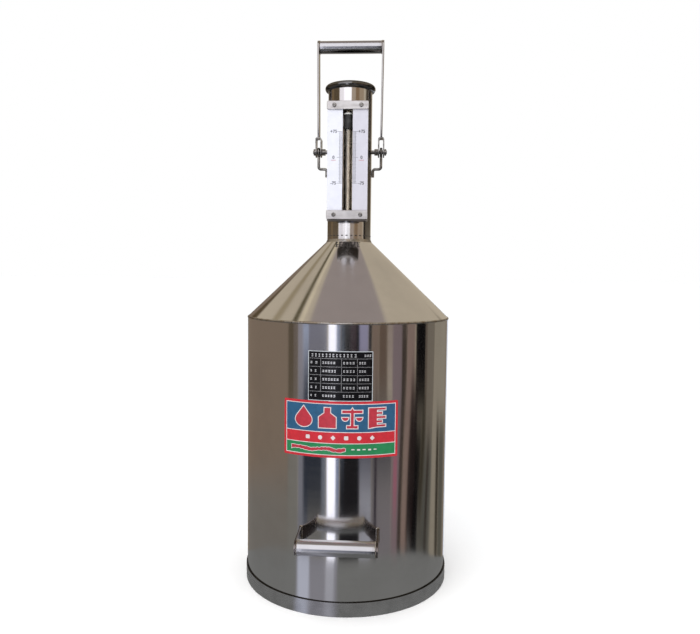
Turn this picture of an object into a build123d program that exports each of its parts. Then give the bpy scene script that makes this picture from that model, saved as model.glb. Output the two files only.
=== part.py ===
from build123d import *
import math
import os

os.makedirs("parts", exist_ok=True)

# Standard volumetric measuring can of polished stainless steel, with a sight gauge on its neck.
# Millimetres. The origin is on the can's axis, at the plane that the can stands on, and +Z is up.
# The gauge, the labels and the lower handle face -Y. Left and right are as seen by a person
# who reads the gauge: left is -X and right is +X.

# ---- Driving dimensions ----
nominal_volume = 20.0e6  # cubic millimetres held when the level is at the zero mark
sheet = 1.2  # thickness of the vessel's steel sheet

body_radius = 132.0
shoulder_height = 345.0  # where the cylinder meets the cone
cone_top_height = 444.0  # where the cone meets the neck
neck_radius = 28.6
neck_top_height = 643.0
rim_bead_radius = 4.2
rim_centre_height = 641.0

foot_ring_height = 18.0
foot_ring_thickness = 1.5
foot_flange_thickness = 2.0
foot_opening_radius = 124.0
foot_ring_fillet = 0.6
floor_thickness = 2.0

gauge_width = 52.0  # across the clamp bars
plate_width = 19.0
plate_slot = 12.6  # gap between the two scale plates
plate_thickness = 1.0
plate_front = 46.6  # distance of the scale plates' front face from the can's axis
channel_back = 30.4  # distance of the channel's back face from the can's axis
channel_sheet = 1.2
bar_thickness = 1.8
lower_bar_bottom = 469.6
lower_bar_top = 480.7
upper_bar_bottom = 604.8
upper_bar_top = 615.2
zero_mark_height = 546.0

glass_radius = 5.3
glass_bore_radius = 3.8
glass_centre = 38.6  # distance of the glass tube's axis from the can's axis
glass_bottom = 476.5
glass_top = 602.8
level_port_radius = 2.5
level_port_height = 473.6
level_port_wall = 1.0

pivot_height = 560.3
pivot_radius = 2.5
pivot_clearance = 0.05
stud_end = 48.4  # distance of the stud's outer end from the can's axis
nut_across_flats = 8.0
nut_chamfer = 0.35
stud_tip_fillet = 0.8
stud_showing = 0.9  # length of stud beyond its lock nut

bail_grip_height = 695.0
bail_grip_radius = 8.0
grip_wall = 1.2
leg_thickness = 2.4
leg_width = 17.0
leg_top_offset = 42.0  # middle of a leg's thickness, at the grip
leg_foot_offset = 40.9  # the same at the clevis
clevis_width = 14.0
clevis_strip = 1.5
clevis_outside = 8.0  # across both prongs
clevis_rise = 18.6  # height of the clevis's top face over the pivot

support_wire_radius = 1.75

handle_height = 96.0  # middle of the lower handle's arms and tube
handle_arm_height = 17.0
handle_arm_thickness = 2.5
handle_arm_offset = 45.4  # middle of an arm's thickness, sideways
handle_grip_distance = 166.0
handle_grip_radius = 9.0

nameplate_half_angle = 16.4
nameplate_bottom = 255.3
nameplate_top = 313.0
nameplate_thickness = 0.5
sticker_half_angle = 30.3
sticker_bottom = 189.0
sticker_top = 255.0
sticker_thickness = 0.25

# ---- Sizes that follow ----
body_bore = body_radius - sheet
neck_bore = neck_radius - sheet
cone_fall = (cone_top_height - shoulder_height) / (body_radius - neck_radius)
sheet_across_cone = sheet * math.hypot(1, cone_fall) / cone_fall
channel_half_width = plate_slot / 2 + plate_width
plate_back = plate_front - plate_thickness
bar_front = plate_front + bar_thickness
screw_offset = plate_slot / 2 + 0.55 * plate_width
sides = (("left", -1), ("right", 1))


def frustum_volume(lower_radius, upper_radius, height):
    return math.pi * height * (lower_radius**2 + lower_radius * upper_radius + upper_radius**2) / 3


# The floor's height is what makes the contents come to the nominal volume at the zero mark.
cone_volume = frustum_volume(body_bore, neck_bore, cone_top_height - shoulder_height)
neck_volume = math.pi * neck_bore**2 * (zero_mark_height - cone_top_height)
body_volume = nominal_volume - cone_volume - neck_volume
floor_top = shoulder_height - body_volume / (math.pi * body_bore**2)
print("floor of the vessel at", round(floor_top, 2))
print("millilitres for each millimetre of neck", round(math.pi * neck_bore**2 / 1000, 3))


def round_tube(outer, inner, bottom, top):
    """An upright tube about the can's axis."""
    with BuildPart() as tube:
        with BuildSketch(Plane.XY.offset(bottom)):
            Circle(outer)
            Circle(inner, mode=Mode.SUBTRACT)
        extrude(amount=top - bottom)
    return tube


def wrapped_label(half_angle, thickness, bottom, top):
    """A thin label that follows the front of the body."""
    outer = body_radius + thickness
    with BuildPart() as label:
        with BuildSketch(Plane.XY.offset(bottom)):
            with BuildLine():
                near = CenterArc((0, 0), body_radius, -90 - half_angle, 2 * half_angle)
                far = CenterArc((0, 0), outer, -90 - half_angle, 2 * half_angle)
                Line(near @ 0, far @ 0)
                Line(near @ 1, far @ 1)
            make_face()
        extrude(amount=top - bottom)
    return label


def hexagon_nut(near, far, side):
    """A nut on a pivot stud, between two distances from the can's axis, with chamfered corners."""
    corner_radius = nut_across_flats / 2 / math.cos(math.pi / 6)
    with BuildPart() as nut:
        with BuildSketch(Plane.YZ.offset(side * near)):
            with Locations((0, pivot_height)):
                RegularPolygon(corner_radius, 6)
                Circle(pivot_radius + pivot_clearance, mode=Mode.SUBTRACT)
        extrude(amount=side * (far - near))
        with BuildSketch(Plane.YZ.offset(side * near)):
            with Locations((0, pivot_height)):
                Circle(corner_radius - nut_chamfer)
        extrude(amount=side * (far - near), mode=Mode.INTERSECT)
    return nut


# ---- Vessel ----
# The foot is a hoop round the body's lower end, with a flat ring inside that carries the shell.
foot_ring = round_tube(body_radius + foot_ring_thickness, body_radius, 0, foot_ring_height)
with foot_ring:
    outer_edges = foot_ring.edges().filter_by(GeomType.CIRCLE)
    fillet(outer_edges.filter_by(lambda edge: edge.radius > body_radius), foot_ring_fillet)
foot_ring.part.label = "foot_ring"
export_step(foot_ring.part, "parts/foot_ring.step")

foot_flange = round_tube(body_radius, foot_opening_radius, 0, foot_flange_thickness)
foot_flange.part.label = "foot_flange"
export_step(foot_flange.part, "parts/foot_flange.step")

body_shell = round_tube(body_radius, body_bore, foot_flange_thickness, shoulder_height)
body_shell.part.label = "body_shell"
export_step(body_shell.part, "parts/body_shell.step")

with BuildPart() as floor_disc:
    with BuildSketch(Plane.XY.offset(floor_top)):
        Circle(body_bore)
    extrude(amount=-floor_thickness)
floor_disc.part.label = "floor_disc"
export_step(floor_disc.part, "parts/floor_disc.step")

with BuildPart() as shoulder_cone:
    cone_inside = body_radius - sheet_across_cone
    inside_top = shoulder_height + (cone_inside - neck_bore) * cone_fall
    with BuildSketch(Plane.XZ):
        with BuildLine():
            Polyline(
                (cone_inside, shoulder_height),
                (body_radius, shoulder_height),
                (neck_radius, cone_top_height),
                (neck_bore, cone_top_height),
                (neck_bore, inside_top),
                close=True,
            )
        make_face()
    revolve(axis=Axis.Z)
shoulder_cone.part.label = "shoulder_cone"
export_step(shoulder_cone.part, "parts/shoulder_cone.step")

# Weld beads stand a little proud of the two seams.
slope = math.hypot(1, cone_fall)
along_cone = (-1 / slope, cone_fall / slope)
shoulder_bead = 1.6  # reach of the bead along each sheet
shoulder_crown = (body_radius + 0.35, shoulder_height + 0.25)
with BuildPart() as shoulder_weld:
    with BuildSketch(Plane.XZ):
        with BuildLine():
            below = (body_radius, shoulder_height - shoulder_bead)
            above = (
                body_radius + shoulder_bead * along_cone[0],
                shoulder_height + shoulder_bead * along_cone[1],
            )
            ThreePointArc(below, shoulder_crown, above)
            Polyline(above, (body_radius, shoulder_height), below)
        make_face()
    revolve(axis=Axis.Z)
shoulder_weld.part.label = "shoulder_weld"
export_step(shoulder_weld.part, "parts/shoulder_weld.step")

neck_bead = 2.2
neck_crown = (neck_radius + 0.75, cone_top_height + 0.35)
with BuildPart() as neck_weld:
    with BuildSketch(Plane.XZ):
        with BuildLine():
            above = (neck_radius, cone_top_height + neck_bead)
            below = (
                neck_radius - neck_bead * along_cone[0],
                cone_top_height - neck_bead * along_cone[1],
            )
            ThreePointArc(above, neck_crown, below)
            Polyline(below, (neck_radius, cone_top_height), above)
        make_face()
    revolve(axis=Axis.Z)
neck_weld.part.label = "neck_weld"
export_step(neck_weld.part, "parts/neck_weld.step")

with BuildPart() as neck_tube:
    with BuildSketch(Plane.XY.offset(cone_top_height)):
        Circle(neck_radius)
        Circle(neck_bore, mode=Mode.SUBTRACT)
    extrude(amount=neck_top_height - cone_top_height)
    with BuildSketch(Plane.XZ):
        with Locations((0, level_port_height)):
            Circle(level_port_radius + level_port_wall)
    extrude(amount=neck_radius + sheet, mode=Mode.SUBTRACT)
neck_tube.part.label = "neck_tube"
export_step(neck_tube.part, "parts/neck_tube.step")

# The rim is a bead with a groove that the top of the neck sits in.
with BuildPart() as neck_rim:
    with BuildSketch(Plane.XZ):
        with Locations((neck_radius, rim_centre_height)):
            Circle(rim_bead_radius)
        with Locations((neck_bore / 2, rim_centre_height)):
            Rectangle(neck_bore, 4 * rim_bead_radius, mode=Mode.SUBTRACT)
        with Locations((neck_radius - sheet / 2, neck_top_height - rim_bead_radius)):
            Rectangle(sheet, 2 * rim_bead_radius, mode=Mode.SUBTRACT)
    revolve(axis=Axis.Z)
neck_rim.part.label = "neck_rim"
export_step(neck_rim.part, "parts/neck_rim.step")

# ---- Sight gauge ----
channel_inset = 0.4  # the channel ends just short of the upper clamp bar's outer edge
channel_overhang = 2.0  # and reaches this far below the lower clamp bar
channel_corner = 1.0
channel_bottom = lower_bar_bottom - channel_overhang
channel_top = upper_bar_top - channel_inset
with BuildPart() as gauge_channel:
    with BuildSketch(Plane.XY.offset(channel_bottom)):
        with Locations((0, -(channel_back + plate_back) / 2)):
            Rectangle(2 * channel_half_width, plate_back - channel_back)
        with Locations((0, -(channel_back + channel_sheet + plate_back) / 2)):
            Rectangle(
                2 * (channel_half_width - channel_sheet),
                plate_back - channel_back - channel_sheet,
                mode=Mode.SUBTRACT,
            )
    extrude(amount=channel_top - channel_bottom)
    with BuildSketch(Plane.XZ.offset(channel_back)):
        with Locations((0, level_port_height)):
            Circle(level_port_radius + level_port_wall)
    extrude(amount=channel_sheet, mode=Mode.SUBTRACT)
    back_corners = gauge_channel.edges().filter_by(Axis.Z).group_by(Axis.Y)[-1]
    fillet(back_corners, radius=channel_corner)
gauge_channel.part.label = "gauge_channel"
export_step(gauge_channel.part, "parts/gauge_channel.step")

# Two saddles hold the channel off the neck. The lower one is just above the level port.
saddle_half_width = 11.0
saddle_height = 10.0
with BuildPart() as gauge_saddles:
    for saddle_bottom in (lower_bar_top, upper_bar_bottom - saddle_height / 2):
        with BuildSketch(Plane.XY.offset(saddle_bottom)):
            with Locations((0, -(neck_bore + channel_back) / 2)):
                Rectangle(2 * saddle_half_width, channel_back - neck_bore)
            Circle(neck_radius, mode=Mode.SUBTRACT)
        extrude(amount=saddle_height)
gauge_saddles.part.label = "gauge_saddles"
export_step(gauge_saddles.part, "parts/gauge_saddles.step")

# The level port carries liquid from the neck to the foot of the glass.
port_start = neck_bore  # flush with the neck's inside, which the port mustn't narrow
with BuildPart() as level_port:
    with BuildSketch(Plane.XZ.offset(port_start)):
        with Locations((0, level_port_height)):
            Circle(level_port_radius + level_port_wall)
            Circle(level_port_radius, mode=Mode.SUBTRACT)
    extrude(amount=channel_back + channel_sheet - port_start)
level_port.part.label = "level_port"
export_step(level_port.part, "parts/level_port.step")

block_half_width = channel_half_width - channel_sheet
block_back = channel_back + channel_sheet
gasket_thickness = 1.0
thread_bore = 1.55
lower_screw_height = (lower_bar_bottom + lower_bar_top) / 2
upper_screw_height = (upper_bar_bottom + upper_bar_top) / 2
with BuildPart() as lower_block:
    with BuildSketch(Plane.XY.offset(channel_bottom)):
        with Locations((0, -(block_back + plate_back) / 2)):
            Rectangle(2 * block_half_width, plate_back - block_back)
    extrude(amount=lower_bar_top - channel_bottom)
    with BuildSketch(Plane.XY.offset(lower_bar_top)):
        with Locations((0, -glass_centre)):
            Circle(glass_radius)
    extrude(amount=glass_bottom - gasket_thickness - lower_bar_top, mode=Mode.SUBTRACT)
    with BuildSketch(Plane.XZ.offset(block_back)):
        with Locations((0, level_port_height)):
            Circle(level_port_radius)
    extrude(amount=glass_centre - block_back, mode=Mode.SUBTRACT)
    with BuildSketch(Plane.XY.offset(level_port_height)):
        with Locations((0, -glass_centre)):
            Circle(level_port_radius)
    extrude(amount=glass_bottom - level_port_height, mode=Mode.SUBTRACT)
    with BuildSketch(Plane.XZ.offset(plate_back)):
        with Locations((-screw_offset, lower_screw_height), (screw_offset, lower_screw_height)):
            Circle(thread_bore)
    extrude(amount=-(plate_back - block_back), mode=Mode.SUBTRACT)
lower_block.part.label = "lower_block"
export_step(lower_block.part, "parts/lower_block.step")

with BuildPart() as upper_block:
    with BuildSketch(Plane.XY.offset(upper_bar_bottom + channel_inset)):
        with Locations((0, -(block_back + plate_back) / 2)):
            Rectangle(2 * block_half_width, plate_back - block_back)
    extrude(amount=channel_top - upper_bar_bottom - channel_inset)
    with BuildSketch(Plane.XZ.offset(plate_back)):
        with Locations((-screw_offset, upper_screw_height), (screw_offset, upper_screw_height)):
            Circle(thread_bore)
    extrude(amount=-(plate_back - block_back), mode=Mode.SUBTRACT)
upper_block.part.label = "upper_block"
export_step(upper_block.part, "parts/upper_block.step")

with BuildPart() as glass_tube:
    with BuildSketch(Plane.XY.offset(glass_bottom)):
        with Locations((0, -glass_centre)):
            Circle(glass_radius)
            Circle(glass_bore_radius, mode=Mode.SUBTRACT)
    extrude(amount=glass_top - glass_bottom)
glass_tube.part.label = "glass_tube"
export_step(glass_tube.part, "parts/glass_tube.step")

# The glass stands on a rubber gasket, and a rubber sleeve steadies its upper end.
with BuildPart() as foot_gasket:
    with BuildSketch(Plane.XY.offset(glass_bottom)):
        with Locations((0, -glass_centre)):
            Circle(glass_radius)
            Circle(level_port_radius, mode=Mode.SUBTRACT)
    extrude(amount=-gasket_thickness)
foot_gasket.part.label = "foot_gasket"
export_step(foot_gasket.part, "parts/foot_gasket.step")

sleeve_outside = glass_radius + 0.2
sleeve_top = glass_top - 3.6  # the glass's end shows above it
sleeve_bottom = sleeve_top - 17.0
with BuildPart() as upper_sleeve:
    with BuildSketch(Plane.XY.offset(sleeve_bottom)):
        with Locations((0, -glass_centre)):
            Circle(sleeve_outside)
            Circle(glass_radius, mode=Mode.SUBTRACT)
    extrude(amount=sleeve_top - sleeve_bottom)
upper_sleeve.part.label = "upper_sleeve"
export_step(upper_sleeve.part, "parts/upper_sleeve.step")

# The clip is a block behind the glass that the sleeve rests in.
clip_half_width = 10.0
clip_height = 10.0
clip_bottom = (sleeve_bottom + sleeve_top - clip_height) / 2
with BuildPart() as glass_clip:
    with BuildSketch(Plane.XY.offset(clip_bottom)):
        with Locations((0, -(block_back + glass_centre) / 2)):
            Rectangle(2 * clip_half_width, glass_centre - block_back)
        with Locations((0, -glass_centre)):
            Circle(sleeve_outside, mode=Mode.SUBTRACT)
    extrude(amount=clip_height)
glass_clip.part.label = "glass_clip"
export_step(glass_clip.part, "parts/glass_clip.step")

screw_clear_radius = 1.7
plate_inset = 1.5  # the scale plates end inside the clamp bars' outer edges
plate_bottom = lower_bar_bottom + plate_inset
plate_top = upper_bar_top - plate_inset
for side, sign in sides:
    with BuildPart() as scale_plate:
        with BuildSketch(Plane.XZ.offset(plate_back)):
            with Locations((sign * (plate_slot + plate_width) / 2, (plate_bottom + plate_top) / 2)):
                Rectangle(plate_width, plate_top - plate_bottom)
            with Locations(
                (sign * screw_offset, lower_screw_height), (sign * screw_offset, upper_screw_height)
            ):
                Circle(screw_clear_radius, mode=Mode.SUBTRACT)
        extrude(amount=plate_thickness)
    scale_plate.part.label = f"scale_plate_{side}"
    export_step(scale_plate.part, f"parts/scale_plate_{side}.step")

bar_corner = 1.8
bar_edge = 0.4
for level, bottom, top in (
    ("lower", lower_bar_bottom, lower_bar_top),
    ("upper", upper_bar_bottom, upper_bar_top),
):
    with BuildPart() as clamp_bar:
        with BuildSketch(Plane.XZ.offset(plate_front)):
            with Locations((0, (bottom + top) / 2)):
                RectangleRounded(gauge_width, top - bottom, bar_corner)
        extrude(amount=bar_thickness)
        chamfer(clamp_bar.faces().sort_by(Axis.Y)[0].edges(), length=bar_edge)
        with BuildSketch(Plane.XZ.offset(plate_front)):
            with Locations((-screw_offset, (bottom + top) / 2), (screw_offset, (bottom + top) / 2)):
                Circle(screw_clear_radius)
        extrude(amount=bar_thickness, mode=Mode.SUBTRACT)
    clamp_bar.part.label = f"{level}_clamp_bar"
    export_step(clamp_bar.part, f"parts/{level}_clamp_bar.step")

screw_head_radius = 2.6
screw_head_height = 1.5
screw_head_fillet = 0.8
screw_shank_radius = 1.5
screw_length = 9.0
slot_width = 0.7
slot_depth = 0.8
slot_angle = 25
screw_places = [
    (sign * screw_offset, height)
    for sign in (-1, 1)
    for height in (lower_screw_height, upper_screw_height)
]
with BuildPart() as clamp_screws:
    with BuildSketch(Plane.XZ.offset(bar_front)):
        with Locations(screw_places):
            Circle(screw_head_radius)
    extrude(amount=screw_head_height)
    fillet(clamp_screws.faces().group_by(Axis.Y)[0].edges(), radius=screw_head_fillet)
    with BuildSketch(Plane.XZ.offset(bar_front + screw_head_height)):
        with Locations(screw_places):
            Rectangle(2 * screw_head_radius, slot_width, rotation=slot_angle)
    extrude(amount=-slot_depth, mode=Mode.SUBTRACT)
    with BuildSketch(Plane.XZ.offset(bar_front)):
        with Locations(screw_places):
            Circle(screw_shank_radius)
    extrude(amount=-screw_length)
clamp_screws.part.label = "clamp_screws"
export_step(clamp_screws.part, "parts/clamp_screws.step")

# ---- Bail pivots ----
spacer_near = 32.2
prong_inner_face = leg_foot_offset - clevis_outside / 2
prong_outer_face = leg_foot_offset + clevis_outside / 2
side_gap = 0.3
for side, sign in sides:
    with BuildPart() as pivot_stud:
        with BuildSketch(Plane.YZ.offset(sign * neck_bore)):
            with Locations((0, pivot_height)):
                Circle(pivot_radius)
        extrude(amount=sign * (stud_end - neck_bore))
        stud_tip = pivot_stud.faces().sort_by(Axis.X)[-1 if sign > 0 else 0]
        fillet(stud_tip.edges(), radius=stud_tip_fillet)
        with BuildSketch(Plane.XY.offset(pivot_height - 2 * pivot_radius)):
            Circle(neck_radius)
        extrude(amount=4 * pivot_radius, mode=Mode.SUBTRACT)
    pivot_stud.part.label = f"pivot_stud_{side}"
    export_step(pivot_stud.part, f"parts/pivot_stud_{side}.step")

with BuildPart() as spacer_nuts:
    for side, sign in sides:
        add(hexagon_nut(spacer_near, prong_inner_face - side_gap, sign).part)
spacer_nuts.part.label = "spacer_nuts"
export_step(spacer_nuts.part, "parts/spacer_nuts.step")

with BuildPart() as lock_nuts:
    for side, sign in sides:
        add(hexagon_nut(prong_outer_face + side_gap, stud_end - stud_showing, sign).part)
lock_nuts.part.label = "lock_nuts"
export_step(lock_nuts.part, "parts/lock_nuts.step")

# A bent wire carries each stud. It has an eye round the stud, between the clevis's prongs,
# runs down, turns in to the neck and turns down again to where it is welded.
eye_clearance = 0.1
eye_radius = pivot_radius + eye_clearance + support_wire_radius
wire_turn_height = pivot_height - 22.0
wire_end_height = pivot_height - 32.5
weld_gap = 0.05
wire_weld_offset = neck_radius + support_wire_radius + weld_gap
wire_bend = 3.0
for side, sign in sides:
    eye_offset = sign * leg_foot_offset
    with BuildPart() as support_wire:
        with BuildLine():
            FilletPolyline(
                (eye_offset, 0, pivot_height - eye_radius),
                (eye_offset, 0, wire_turn_height),
                (sign * wire_weld_offset, 0, wire_turn_height),
                (sign * wire_weld_offset, 0, wire_end_height),
                radius=wire_bend,
            )
        with BuildSketch(Plane.XY.offset(pivot_height - eye_radius)):
            with Locations((eye_offset, 0)):
                Circle(support_wire_radius)
        sweep()
        with Locations(Location((eye_offset, 0, pivot_height), (0, 90, 0))):
            Torus(eye_radius, support_wire_radius)
    support_wire.part.label = f"support_wire_{side}"
    export_step(support_wire.part, f"parts/support_wire_{side}.step")

# ---- Bail ----
clevis_top = pivot_height + clevis_rise
leg_top = bail_grip_height + leg_width / 2
leg_lean = (leg_top_offset - leg_foot_offset) / (bail_grip_height - clevis_top)
leg_tip_offset = leg_foot_offset + leg_lean * (leg_top - clevis_top)
half_leg = leg_thickness / 2
leg_shoulder_height = clevis_top + 14.0  # where a leg has reached its full width
legs = {}
for side, sign in sides:
    with BuildPart() as bail_leg:
        with BuildSketch(Plane.XZ):
            with BuildLine():
                Polyline(
                    (sign * (leg_foot_offset - half_leg), clevis_top),
                    (sign * (leg_foot_offset + half_leg), clevis_top),
                    (sign * (leg_tip_offset + half_leg), leg_top),
                    (sign * (leg_tip_offset - half_leg), leg_top),
                    close=True,
                )
            make_face()
        extrude(amount=leg_width / 2, both=True)
        # Seen from the side, the leg widens from the clevis to the grip and ends in a half round.
        with BuildSketch(Plane.YZ.offset(sign * (leg_foot_offset - leg_width))):
            with BuildLine():
                left_shoulder = (-leg_width / 2, bail_grip_height)
                right_shoulder = (leg_width / 2, bail_grip_height)
                ThreePointArc(left_shoulder, (0, leg_top), right_shoulder)
                Polyline(
                    right_shoulder,
                    (leg_width / 2, leg_shoulder_height),
                    (clevis_width / 2, clevis_top),
                    (-clevis_width / 2, clevis_top),
                    (-leg_width / 2, leg_shoulder_height),
                    left_shoulder,
                )
            make_face()
        extrude(amount=sign * 2 * leg_width, mode=Mode.INTERSECT)
    bail_leg.part.label = f"bail_leg_{side}"
    export_step(bail_leg.part, f"parts/bail_leg_{side}.step")
    legs[side] = bail_leg.part

with BuildPart() as bail_grip:
    with BuildSketch(Plane.YZ):
        with Locations((0, bail_grip_height)):
            Circle(bail_grip_radius)
            Circle(bail_grip_radius - grip_wall, mode=Mode.SUBTRACT)
    extrude(amount=leg_top_offset, both=True)
    for leg in legs.values():
        add(leg, mode=Mode.SUBTRACT)
bail_grip.part.label = "bail_grip"
export_step(bail_grip.part, "parts/bail_grip.step")

prong_bottom = pivot_height - clevis_width / 2
prong_centre = clevis_outside / 2 - clevis_strip / 2
clevis_bend = 2.2
for side, sign in sides:
    with BuildPart() as bail_clevis:
        with BuildSketch(Plane.XZ):
            with BuildLine():
                FilletPolyline(
                    (sign * leg_foot_offset - prong_centre, prong_bottom),
                    (sign * leg_foot_offset - prong_centre, clevis_top - clevis_strip / 2),
                    (sign * leg_foot_offset + prong_centre, clevis_top - clevis_strip / 2),
                    (sign * leg_foot_offset + prong_centre, prong_bottom),
                    radius=clevis_bend,
                )
            trace(line_width=clevis_strip)
        extrude(amount=clevis_width / 2, both=True)
        with BuildSketch(Plane.YZ.offset(sign * leg_foot_offset - clevis_outside)):
            with Locations((0, (pivot_height + clevis_top) / 2)):
                Rectangle(clevis_width, clevis_top - pivot_height)
            with Locations((0, pivot_height)):
                Circle(clevis_width / 2)
        extrude(amount=2 * clevis_outside, mode=Mode.INTERSECT)
        with BuildSketch(Plane.YZ.offset(sign * leg_foot_offset - clevis_outside)):
            with Locations((0, pivot_height)):
                Circle(pivot_radius + pivot_clearance)
        extrude(amount=2 * clevis_outside, mode=Mode.SUBTRACT)
    bail_clevis.part.label = f"bail_clevis_{side}"
    export_step(bail_clevis.part, f"parts/bail_clevis_{side}.step")

# ---- Lower handle ----
arm_tip = -(handle_grip_distance + handle_arm_height / 2)
handle_bottom = handle_height - handle_arm_height / 2
with BuildPart() as lower_handle_bracket:
    # Two flat arms stand straight out from the body, whose wall cuts their roots.
    with BuildSketch(Plane.XY.offset(handle_bottom)):
        with Locations((-handle_arm_offset, arm_tip / 2), (handle_arm_offset, arm_tip / 2)):
            Rectangle(handle_arm_thickness, -arm_tip)
        Circle(body_radius, mode=Mode.SUBTRACT)
    extrude(amount=handle_arm_height)
    # The arms end in a half round about the grip's axis.
    with BuildSketch(Plane.YZ.offset(-2 * handle_arm_offset)):
        with Locations((-handle_grip_distance / 2, handle_height)):
            Rectangle(handle_grip_distance, handle_arm_height)
        with Locations((-handle_grip_distance, handle_height)):
            Circle(handle_arm_height / 2)
    extrude(amount=4 * handle_arm_offset, mode=Mode.INTERSECT)
lower_handle_bracket.part.label = "lower_handle_bracket"
export_step(lower_handle_bracket.part, "parts/lower_handle_bracket.step")

grip_half_length = handle_arm_offset - handle_arm_thickness / 2
with BuildPart() as lower_handle_grip:
    with BuildSketch(Plane.YZ):
        with Locations((-handle_grip_distance, handle_height)):
            Circle(handle_grip_radius)
            Circle(handle_grip_radius - grip_wall, mode=Mode.SUBTRACT)
    extrude(amount=grip_half_length, both=True)
lower_handle_grip.part.label = "lower_handle_grip"
export_step(lower_handle_grip.part, "parts/lower_handle_grip.step")

# ---- Labels ----
nameplate = wrapped_label(
    nameplate_half_angle, nameplate_thickness, nameplate_bottom, nameplate_top
)
nameplate.part.label = "nameplate"
export_step(nameplate.part, "parts/nameplate.step")

front_label = wrapped_label(sticker_half_angle, sticker_thickness, sticker_bottom, sticker_top)
front_label.part.label = "front_label"
export_step(front_label.part, "parts/front_label.step")
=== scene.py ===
import math
import random

import bmesh
import bpy
from mathutils import Matrix, Vector, noise


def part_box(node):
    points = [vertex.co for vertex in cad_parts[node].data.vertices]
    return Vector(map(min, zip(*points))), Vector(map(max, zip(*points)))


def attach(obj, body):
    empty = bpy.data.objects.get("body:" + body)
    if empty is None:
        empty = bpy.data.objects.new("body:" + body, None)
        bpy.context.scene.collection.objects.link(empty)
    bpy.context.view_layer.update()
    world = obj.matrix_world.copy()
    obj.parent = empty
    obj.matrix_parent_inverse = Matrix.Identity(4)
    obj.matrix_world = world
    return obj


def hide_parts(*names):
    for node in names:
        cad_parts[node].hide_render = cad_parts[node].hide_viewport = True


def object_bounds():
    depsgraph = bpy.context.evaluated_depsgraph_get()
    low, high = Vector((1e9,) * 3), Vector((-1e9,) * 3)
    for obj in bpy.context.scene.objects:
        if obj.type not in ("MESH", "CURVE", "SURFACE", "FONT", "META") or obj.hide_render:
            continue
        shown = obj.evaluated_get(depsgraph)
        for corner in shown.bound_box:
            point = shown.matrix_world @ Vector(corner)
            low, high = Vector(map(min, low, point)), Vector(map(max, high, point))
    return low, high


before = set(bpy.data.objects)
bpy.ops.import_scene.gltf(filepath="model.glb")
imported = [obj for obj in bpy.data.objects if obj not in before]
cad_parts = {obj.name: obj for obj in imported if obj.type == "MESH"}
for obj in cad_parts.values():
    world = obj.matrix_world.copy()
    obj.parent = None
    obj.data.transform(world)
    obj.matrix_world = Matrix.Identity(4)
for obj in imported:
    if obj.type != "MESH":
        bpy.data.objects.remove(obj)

# The looks of a polished steel measuring can: mirror-bright vessel, sight gauge, folding bail,
# lower handle and labels. Lengths are metres, written as a number of MM.
MM = 0.001
cad_low, cad_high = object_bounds()
scene = bpy.context.scene
scene.view_settings.view_transform = "Standard"

# ---- Places read from the frame ----
BODY_LOW, BODY_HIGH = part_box("body_shell")
NECK_LOW, NECK_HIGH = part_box("neck_tube")
FOOT_LOW, FOOT_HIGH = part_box("foot_ring")
GRIP_LOW, GRIP_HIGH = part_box("bail_grip")
BRACKET_LOW, BRACKET_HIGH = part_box("lower_handle_bracket")
TUBE_LOW, TUBE_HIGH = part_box("lower_handle_grip")
PLATE_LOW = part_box("scale_plate_right")[0]
GLASS_LOW, GLASS_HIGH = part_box("glass_tube")
SLEEVE_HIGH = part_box("upper_sleeve")[1]
NAMEPLATE_LOW, NAMEPLATE_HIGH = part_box("nameplate")
LABEL_LOW, LABEL_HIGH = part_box("front_label")

BODY_RADIUS = BODY_HIGH.x
NECK_RADIUS = NECK_HIGH.x
CONE_TOP = NECK_LOW.z
SHOULDER = BODY_HIGH.z
SHEET = 1.2 * MM
CONE_SLOPE = (CONE_TOP - SHOULDER) / (BODY_RADIUS - NECK_RADIUS)
CHANNEL_LOW, CHANNEL_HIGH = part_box("gauge_channel")
# the pale part of the channel that shows behind the glass: a painted reflection
PALE_START = -7.2 * MM
PALE_END = CHANNEL_HIGH.x - 0.6 * MM
CHANNEL_BACK = CHANNEL_HIGH.y - 1.0 * MM
CHANNEL_FLOOR = CHANNEL_LOW.z + 4.0 * MM
BACK = math.pi / 2  # the angle about +Z of the sheet's long seams, at the back


def srgb(red, green, blue):
    """Linear colour from display values between 0 and 1."""
    return tuple(v / 12.92 if v <= 0.04045 else ((v + 0.055) / 1.055) ** 2.4 for v in (red, green, blue))


def polar(angle, radius=1.0, height=0.0):
    """The point at an angle about +Z."""
    return Vector((radius * math.cos(angle), radius * math.sin(angle), height))


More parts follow.
